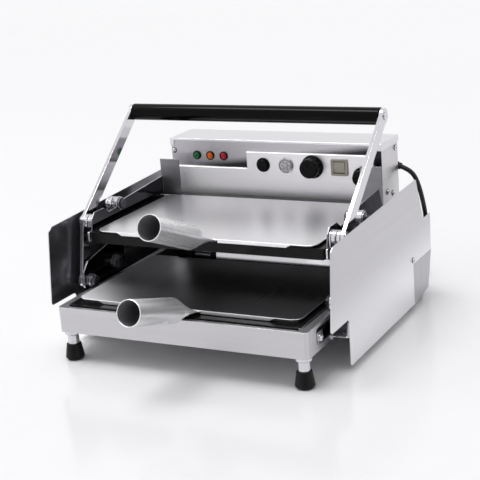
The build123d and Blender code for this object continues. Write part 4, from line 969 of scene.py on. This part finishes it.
def tube_handle(name, tray, tilt, body):
    """A thin tube with an open mouth, pressed flat at its root under the tray's front edge."""
    low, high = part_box(tray)
    root = Vector((0, low.y + 0.5 * mm, high.z - flat_half_height * mm))
    ahead = Vector((0, -cos(radians(tilt)), sin(radians(tilt))))
    above = Vector((0, sin(radians(tilt)), cos(radians(tilt))))
    form = bmesh.new()
    loops = []

    def loop(along, width, height):
        """One ring of points across the tube."""
        ring = []
        for step in range(ring_steps):
            angle = 2 * pi * step / ring_steps
            place = root + ahead * along * mm + above * height * sin(angle) * mm
            place.x += width * cos(angle) * mm
            ring.append(form.verts.new(place))
        loops.append(ring)

    for wall in (0, tube_wall):
        stages = []
        for share, round_share in taper_stages:
            width = flat_half_width + (tube_radius - flat_half_width) * round_share
            height = flat_half_height + (tube_radius - flat_half_height) * round_share
            stages.append((share * taper_length, width - wall, max(height - wall, least_gap)))
        stages.append((tube_length - tube_lip, tube_radius - wall, tube_radius - wall))
        rim = tube_radius - wall + (tube_lip if wall else -tube_lip)
        stages.append((tube_length, rim, rim))
        for along, width, height in stages if wall == 0 else reversed(stages):
            loop(along, width, height)
    for index, (ring, after) in enumerate(zip(loops, loops[1:])):
        for step in range(ring_steps):
            following = (step + 1) % ring_steps
            face = form.faces.new((ring[step], ring[following], after[following], after[step]))
            face.material_index = int(index >= len(stages))
    form.faces.new(list(reversed(loops[0])))
    form.faces.new(loops[-1])
    bmesh.ops.recalc_face_normals(form, faces=form.faces)
    # The inner wall takes the painted shade of the bore.
    mesh = mesh_of(form, name, satin_tube, tube_bore_painted_shade)
    mesh.shade_smooth()
    mesh.set_sharp_from_angle(angle=radians(24))
    make_piece(name, mesh, body, "tube_steel", tray + "_handle")


tube_handle("lower_tube_handle", "lower_tray", 17.5, "lower_tray")
tube_handle("upper_tube_handle", "upper_tray", 22.5, "upper_tray")

# Side covers: flat sheets with a creased wing at the back, screwed to the housing, with painted
# shade on their insides and on the wings.
# Stainless 304, brushed from front to back and wiped clean: light grey, very even, with painted
# light that makes it paler towards its lower edge.
cover_steel = finish(
    "stainless_304_brushed_cover",
    "#CAC8CC",
    "#C6C4C8",
    4,
    (0.3, 0.34),
    (0.004, 0.03),
    (1, 0.02, 1),
    # Painted light: paler towards the lower edge.
    painted_fade=((0, 0, -1), -150, -40, "#F4F3F5", 0.34),
    Metallic=1.0,
)
# The inside is a dark grey, smoother than the outside: painted shade and dark reflection of the
# machine, which it shows as soft shapes.
cover_inside_painted_shade = finish(
    "stainless_304_cover_inside_painted_shade",
    "#8E8E93",
    "#848489",
    12,
    (0.2, 0.26),
    (0.01, 0.06),
    (1, 0.3, 1),
    Metallic=0.9,
)
# The wing's grain runs from top to bottom, and its darker grey is painted shade where the bent
# wing turns away from the light.
wing_painted_shade = finish(
    "stainless_304_wing_painted_shade",
    "#B9B7BC",
    "#B1AFB4",
    4,
    (0.28, 0.34),
    (0.01, 0.03),
    (1, 1, 0.02),
    Metallic=1.0,
)
crease_y = 207


def on_wing(normal, middle):
    """Whether a face is the outside of a cover's wing."""
    return middle.y > crease_y * mm and normal.x * middle.x > squarely * abs(middle.x)


for name in ("left_side_cover", "right_side_cover"):
    softened(
        name,
        0.4,
        cover_steel,
        "cover_steel",
        # Painted shade on the insides, and on the wings.
        (cover_inside_painted_shade, looks_inward),
        (wing_painted_shade, on_wing),
    )

# Screws: plated pan-head screws with a cross recess, in the covers, the risers and the box.
screw_places = (
    ((243, 205.9, 86), (1, 0, 0)),
    ((198, 243.9, 190), (1, 0, 0)),
    ((198, 218.9, 198), (1, 0, 0)),
    ((198, 262, 264), (1, 0, 0)),
)
screw_tree, given = new_tree(
    "cross_recess_screws",
    {
        "Head Radius": "Float",
        "Head Height": "Float",
        "Recess Length": "Float",
        "Recess Width": "Float",
    },
)
# Each stage of the dome, in shares of the head: where it starts, its height and its two radii.
dome_stages = ((0.0, 0.5, 1.0, 0.95), (0.5, 0.35, 0.95, 0.72), (0.85, 0.15, 0.72, 0.45))
measures = ("Head Height", "Head Height", "Head Radius", "Head Radius")
screw_stages = [
    [
        add_node(
            screw_tree, "ShaderNodeMath", {"operation": "MULTIPLY"}, {0: given[measure], 1: share}
        ).outputs[0]
        for measure, share in zip(measures, stage)
    ]
    for stage in dome_stages
]
head_sides = 24
head = stacked(screw_tree, head_sides, screw_stages, given["Head Height"], 0.00001)
carved = add_node(screw_tree, "GeometryNodeMeshBoolean", {"operation": "DIFFERENCE"}, {0: head})
for first, second in (("Recess Length", "Recess Width"), ("Recess Width", "Recess Length")):
    block_size = add_node(
        screw_tree,
        "ShaderNodeCombineXYZ",
        inputs={"X": given[first], "Y": given[second], "Z": given["Head Height"]},
    ).outputs[0]
    bar = add_node(screw_tree, "GeometryNodeMeshCube", inputs={"Size": block_size}).outputs[0]
    screw_tree.links.new(lifted(screw_tree, bar, given["Head Height"]), carved.inputs[1])
set_out(screw_tree, carved.outputs[0], given)
screw_rows = []
for (x, y, z), (out_x, out_y, out_z) in screw_places:
    for side in (1, -1):
        screw_rows.append(((side * x, y, z), (side * out_x, out_y, out_z), (1, 1, 1)))
screw_rows.append(((-192.5, 198.3, 262), (0, -1, 0), (1, 1, 1)))
screw_mesh = run_tree(
    screw_tree,
    placed_points(screw_rows),
    {
        "Head Radius": 4.2 * mm,
        "Head Height": 2.6 * mm,
        "Recess Length": 4.4 * mm,
        "Recess Width": 1.1 * mm,
        "Finish": bright_zinc,
    },
)
# Each stands on a thin washer of the dark steel: a painted shadow round the screw head.
shadow_washer_size = (5 * mm, 5 * mm, 0.8 * mm)
shadow_washer_edge_break = 0.1
shadow_washer_mesh = run_tree(
    ring_tree,
    placed_points([(place, outward, shadow_washer_size) for place, outward, size in screw_rows]),
    {"Sides": head_sides, "Edge Break": shadow_washer_edge_break, "Finish": painted_dark_steel},
)
screw_mesh = joined("cover_screws", [screw_mesh, shadow_washer_mesh])
make_piece("cover_screws", screw_mesh, "body", "zinc_steel", "screws")

# Rear housing and its louvred back panel: folded brushed sheet that closes the back of the base.
# The faces that look into the machine or ahead are painted dark grey, a painted dark reflection.
# Behind the lower tray a bright strip stands on the pan, leans back and throws the heat forward.
softened(
    "rear_housing",
    0.4,
    brushed_steel,
    "satin_steel",
    # Painted dark reflection on the faces that look inward and ahead.
    (painted_dark_reflection_steel, looks_inward),
    (painted_dark_reflection_steel, looks_ahead),
)
softened("rear_panel", 0.3, brushed_steel, "satin_steel")


def folded_sheet(name, profile, ends, material, slot, thickness=0.8, edge=0.2):
    """A sheet on the body, folded along lines that run across the machine. In mm, the profile is
    its line (y, z), the ends are where it stops left and right, and edge is how far it is eased."""
    form = bmesh.new()
    rows = [[form.verts.new((x * mm, y * mm, z * mm)) for y, z in profile] for x in ends]
    for index in range(len(profile) - 1):
        form.faces.new((rows[0][index], rows[1][index], rows[1][index + 1], rows[0][index + 1]))
    piece = make_piece(name, mesh_of(form, name, material), "body", slot)
    wall = piece.modifiers.new("wall", "SOLIDIFY")
    wall.thickness = thickness * mm
    wall.offset = -1
    eased = piece.modifiers.new("eased_edges", "BEVEL")
    eased.width = edge * mm
    eased.segments = 2
    eased.harden_normals = True


folded_sheet(
    "heat_shield",
    ((121, 92.2), (112, 92.2), (115, 107)),
    (-78, 186),
    bright_sheet,
    "satin_steel",
)
# A black tab that holds the end of the hose stands beside it.
folded_sheet(
    "hose_tab",
    ((121, 92.2), (112, 92.2), (113.5, 104), (110, 108)),
    (-88, -80),
    black_enamel,
    "black_enamel",
    thickness=1.2,
    edge=0.3,
)

# Control box, lid, risers and stepped front panel: folded sheet, the lid laid over the box.
# Stainless 304, lightly brushed: a lighter copy of the box's sheet, painted light on the lid's flat
# top, which throws back the white studio.
lid_steel_painted_light = finish(
    "stainless_304_lid_painted_light",
    "#DFDFE1",
    "#DBDBDE",
    4,
    (0.3, 0.34),
    (0.004, 0.03),
    (0.02, 1, 1),
    Metallic=1.0,
)
# The lamp bay in the box's front is brushed too, a darker copy of the box's sheet: painted shade in
# the recess, darkest towards its lower right corner.
bay_steel_painted_shade = finish(
    "stainless_304_bay_painted_shade",
    "#BCBABE",
    "#B6B4B8",
    3,
    (0.29, 0.33),
    (0.006, 0.03),
    (0.02, 1, 1),
    # Painted shade: dark towards the lower right corner of the bay.
    painted_fade=((0.12, 0, -1), -264, -248, "#303032", 0.3),
    Metallic=1.0,
)
softened("control_box", 0.4, brushed_steel, "satin_steel", (bay_steel_painted_shade, looks_ahead))
softened("control_box_lid", 0.3, lid_steel_painted_light, "satin_steel")
softened("box_risers", 0.4, brushed_steel, "satin_steel")
# Stainless 304, brushed across: painted light makes it as light as the lid but duller, and palest
# at its left end.
panel_steel_painted_light = finish(
    "stainless_304_panel_painted_light",
    "#ECEAED",
    "#E6E4E7",
    3,
    (0.4, 0.44),
    (0.004, 0.03),
    (0.02, 1, 1),
    # Painted light: palest at the left end.
    painted_fade=((-1, 0, 0), 40, 170, "#FFFEFF", 0.46),
    Metallic=0.97,
)
softened("front_panel", 0.3, panel_steel_painted_light, "satin_steel")
skirt_ends = (-185, 185)
skirt_profile = ((192.4, 176), (192.4, 189))
folded_sheet("panel_skirt", skirt_profile, skirt_ends, panel_steel_painted_light, "satin_steel")
# A black heat seal hangs below it and closes the space under the box.
seal_profile = ((193.4, 142), (193.4, 178))
folded_sheet("heat_seal", seal_profile, skirt_ends, black_enamel, "black_enamel")

# Latch plates: a bright plate with a pan-head screw in each side cut-out near the front, which
# holds the platen pan to the base.
latch_place = (214.3, -121, 67)
latch_size = Matrix.Diagonal((1.2 * mm, 19 * mm, 20 * mm, 1))
latch_edge = 0.4
latch_screw_x = 214.9
plate_form = bmesh.new()
for side in (1, -1):
    plate_middle = Vector((side * latch_place[0], *latch_place[1:])) * mm
    bmesh.ops.create_cube(
        plate_form, size=1, matrix=Matrix.Translation(plate_middle) @ latch_size
    )
bmesh.ops.bevel(
    plate_form,
    geom=plate_form.edges[:],
    offset=latch_edge * mm,
    segments=2,
    profile=0.5,
    affect="EDGES",
)
make_piece(
    "latch_plates", mesh_of(plate_form, "latch_plates", bright_sheet), "body", "zinc_steel"
)
latch_rows = [
    ((side * latch_screw_x, *latch_place[1:]), (side, 0, 0), (1, 1, 1)) for side in (1, -1)
]
latch_screws = run_tree(
    screw_tree,
    placed_points(latch_rows),
    {
        "Head Radius": 5.6 * mm,
        "Head Height": 4 * mm,
        "Recess Length": 6 * mm,
        "Recess Width": 1.6 * mm,
        "Finish": bright_zinc,
    },
)
make_piece("latch_screws", latch_screws, "body", "zinc_steel")

# Controls: three pilot lights in black bezels, a start button, a buzzer, two knobs and a rocker.
# ABS, moulded: black with a satin gloss and the fine texture of its mould.
black_plastic = finish(
    "abs_black_moulded", "#0C0C0D", "#070708", 1.5, (0.24, 0.32), (0.05, 0.08), IOR=1.2
)
# PBT, moulded: greyish beige, satin, a shade darker for the frame than for the rocker.
rocker_beige = finish(
    "pbt_beige_moulded", "#A8A499", "#A09C91", 2, (0.3, 0.38), (0.08, 0.08), IOR=1.45
)
frame_beige = finish(
    "pbt_grey_beige_moulded", "#9D998E", "#949085", 2, (0.3, 0.38), (0.08, 0.08), IOR=1.45
)
softened("control_bezels", 0.25, black_plastic, "black_plastic")
softened("start_button", 0.4, black_plastic, "black_plastic", segments=3)
softened("timer_knob", 0.5, black_plastic, "black_plastic")
softened("thermostat_knob", 0.5, black_plastic, "black_plastic")
softened("rocker_frame", 0.35, frame_beige, "beige_plastic")
softened("power_rocker", 0.35, rocker_beige, "beige_plastic")
dress(black_plastic, "timer_body", "thermostat_body", "terminal_block")


def lathed(name, rings, sides, facing, material, flat=False, twist=0.0):
    """A turned piece whose axis runs along Y. Rings are (radius, depth towards the front) in mm."""
    middle_x, middle_y, middle_z = facing
    form = bmesh.new()
    loops = []
    for index, (radius, ahead) in enumerate(rings):
        ring = []
        for step in range(sides):
            angle = 2 * pi * (step + twist * index) / sides
            ring.append(
                form.verts.new(
                    (
                        (middle_x + radius * cos(angle)) * mm,
                        (middle_y - ahead) * mm,
                        (middle_z + radius * sin(angle)) * mm,
                    )
                )
            )
        loops.append(ring)
    for ring, after in zip(loops, loops[1:]):
        for step in range(sides):
            following = (step + 1) % sides
            if twist:
                form.faces.new((ring[step], ring[following], after[step]))
                form.faces.new((ring[following], after[following], after[step]))
            else:
                form.faces.new((ring[step], ring[following], after[following], after[step]))
    form.faces.new(loops[0])
    form.faces.new(list(reversed(loops[-1])))
    bmesh.ops.recalc_face_normals(form, faces=form.faces)
    mesh = mesh_of(form, name, material)
    if not flat:
        mesh.shade_smooth()
        mesh.set_sharp_from_angle(angle=radians(28))
    return mesh


# Buzzer: a turned steel cap with a raised rim and a ring of sound holes round a centre boss.
# Stainless 304, turned: light, with a fine circular grain that blurs its reflections.
turned_steel = finish(
    "stainless_304_turned", "#B4B3B6", "#A4A3A7", 2, (0.12, 0.2), (0.05, 0.04), Metallic=1.0
)
low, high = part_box("buzzer")
buzzer_centre = (low + high) / 2 / mm
buzzer_front = 191.4
buzzer_face = (buzzer_centre.x, buzzer_front, buzzer_centre.z)
buzzer_sides = 40
hole_middle = 3.4
buzzer_rings = (
    (10.5, -14),
    (10.5, 0),
    (13.5, 0.05),
    (13.5, 1.2),
    (12.9, 2.4),
    (12.0, 2.9),
    (11.0, 2.6),
    (10.4, 1.2),
    (9.4, 1.0),
    (9.0, 1.9),
    (4.6, 2.1),
    (4.2, 1.5),
    (3.8, 1.5),
    (3.4, 2.8),
    (1.2, 3.0),
)
sound_tree, given = new_tree(
    "ring_of_sound_holes",
    {
        "Holes": "Int",
        "Ring Radius": "Float",
        "Hole Radius": "Float",
        "Hole Depth": "Float",
        "Centre": "Vector",
    },
)
circle = add_node(
    sound_tree,
    "GeometryNodeMeshCircle",
    inputs={"Vertices": given["Holes"], "Radius": given["Ring Radius"]},
).outputs[0]
drill = add_node(
    sound_tree,
    "GeometryNodeMeshCylinder",
    inputs={"Vertices": 14, "Radius": given["Hole Radius"], "Depth": given["Hole Depth"]},
).outputs[0]
drills = add_node(
    sound_tree, "GeometryNodeInstanceOnPoints", inputs={"Points": circle, "Instance": drill}
).outputs[0]
drills = add_node(
    sound_tree,
    "GeometryNodeTransform",
    inputs={"Geometry": drills, "Translation": given["Centre"], "Rotation": (pi / 2, 0, 0)},
).outputs[0]
drills = add_node(
    sound_tree, "GeometryNodeRealizeInstances", inputs={"Geometry": drills}
).outputs[0]
pierced = add_node(
    sound_tree,
    "GeometryNodeMeshBoolean",
    {"operation": "DIFFERENCE"},
    {0: given["Geometry"], 1: drills},
).outputs[0]
end_tree(sound_tree, pierced, given)
buzzer_mesh = run_tree(
    sound_tree,
    lathed("buzzer_cap", buzzer_rings, buzzer_sides, buzzer_face, turned_steel),
    {
        "Holes": 6,
        "Ring Radius": 6.8 * mm,
        "Hole Radius": 1.5 * mm,
        "Hole Depth": 6 * mm,
        "Centre": [
            buzzer_face[0] * mm,
            (buzzer_front - hole_middle) * mm,
            buzzer_face[2] * mm,
        ],
        "Finish": turned_steel,
    },
)
make_piece("buzzer_cap", buzzer_mesh, "body", "zinc_steel", "buzzer")

# Lens of a pilot light: a cut dome of clear coloured acrylic, dark at the rim and lit up in the
# facets that face the light.
lens_rings = (
    (6.2, -12),
    (6.2, 0.5),
    (5.7, 0.8),
    (5.5, 2.3),
    (4.6, 3.6),
    (3.1, 4.7),
    (1.5, 5.3),
    (0.4, 5.4),
)
lens_height = lens_rings[-1][1]
facets = 14
for name, light, dark in (
    ("green_lens", "#067A3A", "#03552A"),
    ("amber_lens", "#EC6A0A", "#BE4A06"),
    ("red_lens", "#CC0A2C", "#8E051E"),
):
    low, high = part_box(name)
    centre = (low + high) / 2 / mm
    facing = (centre.x, low.y / mm + lens_height, centre.z)
    acrylic = finish(
        "acrylic_cut_" + name, light, dark, 1.2, (0.08, 0.14), (0.05, 0.1), IOR=1.3
    )
    lens = lathed(name + "_cut", lens_rings, facets, facing, acrylic, flat=True, twist=0.5)
    make_piece(name + "_cut", lens, "body", name, name)

bpy.context.view_layer.update()
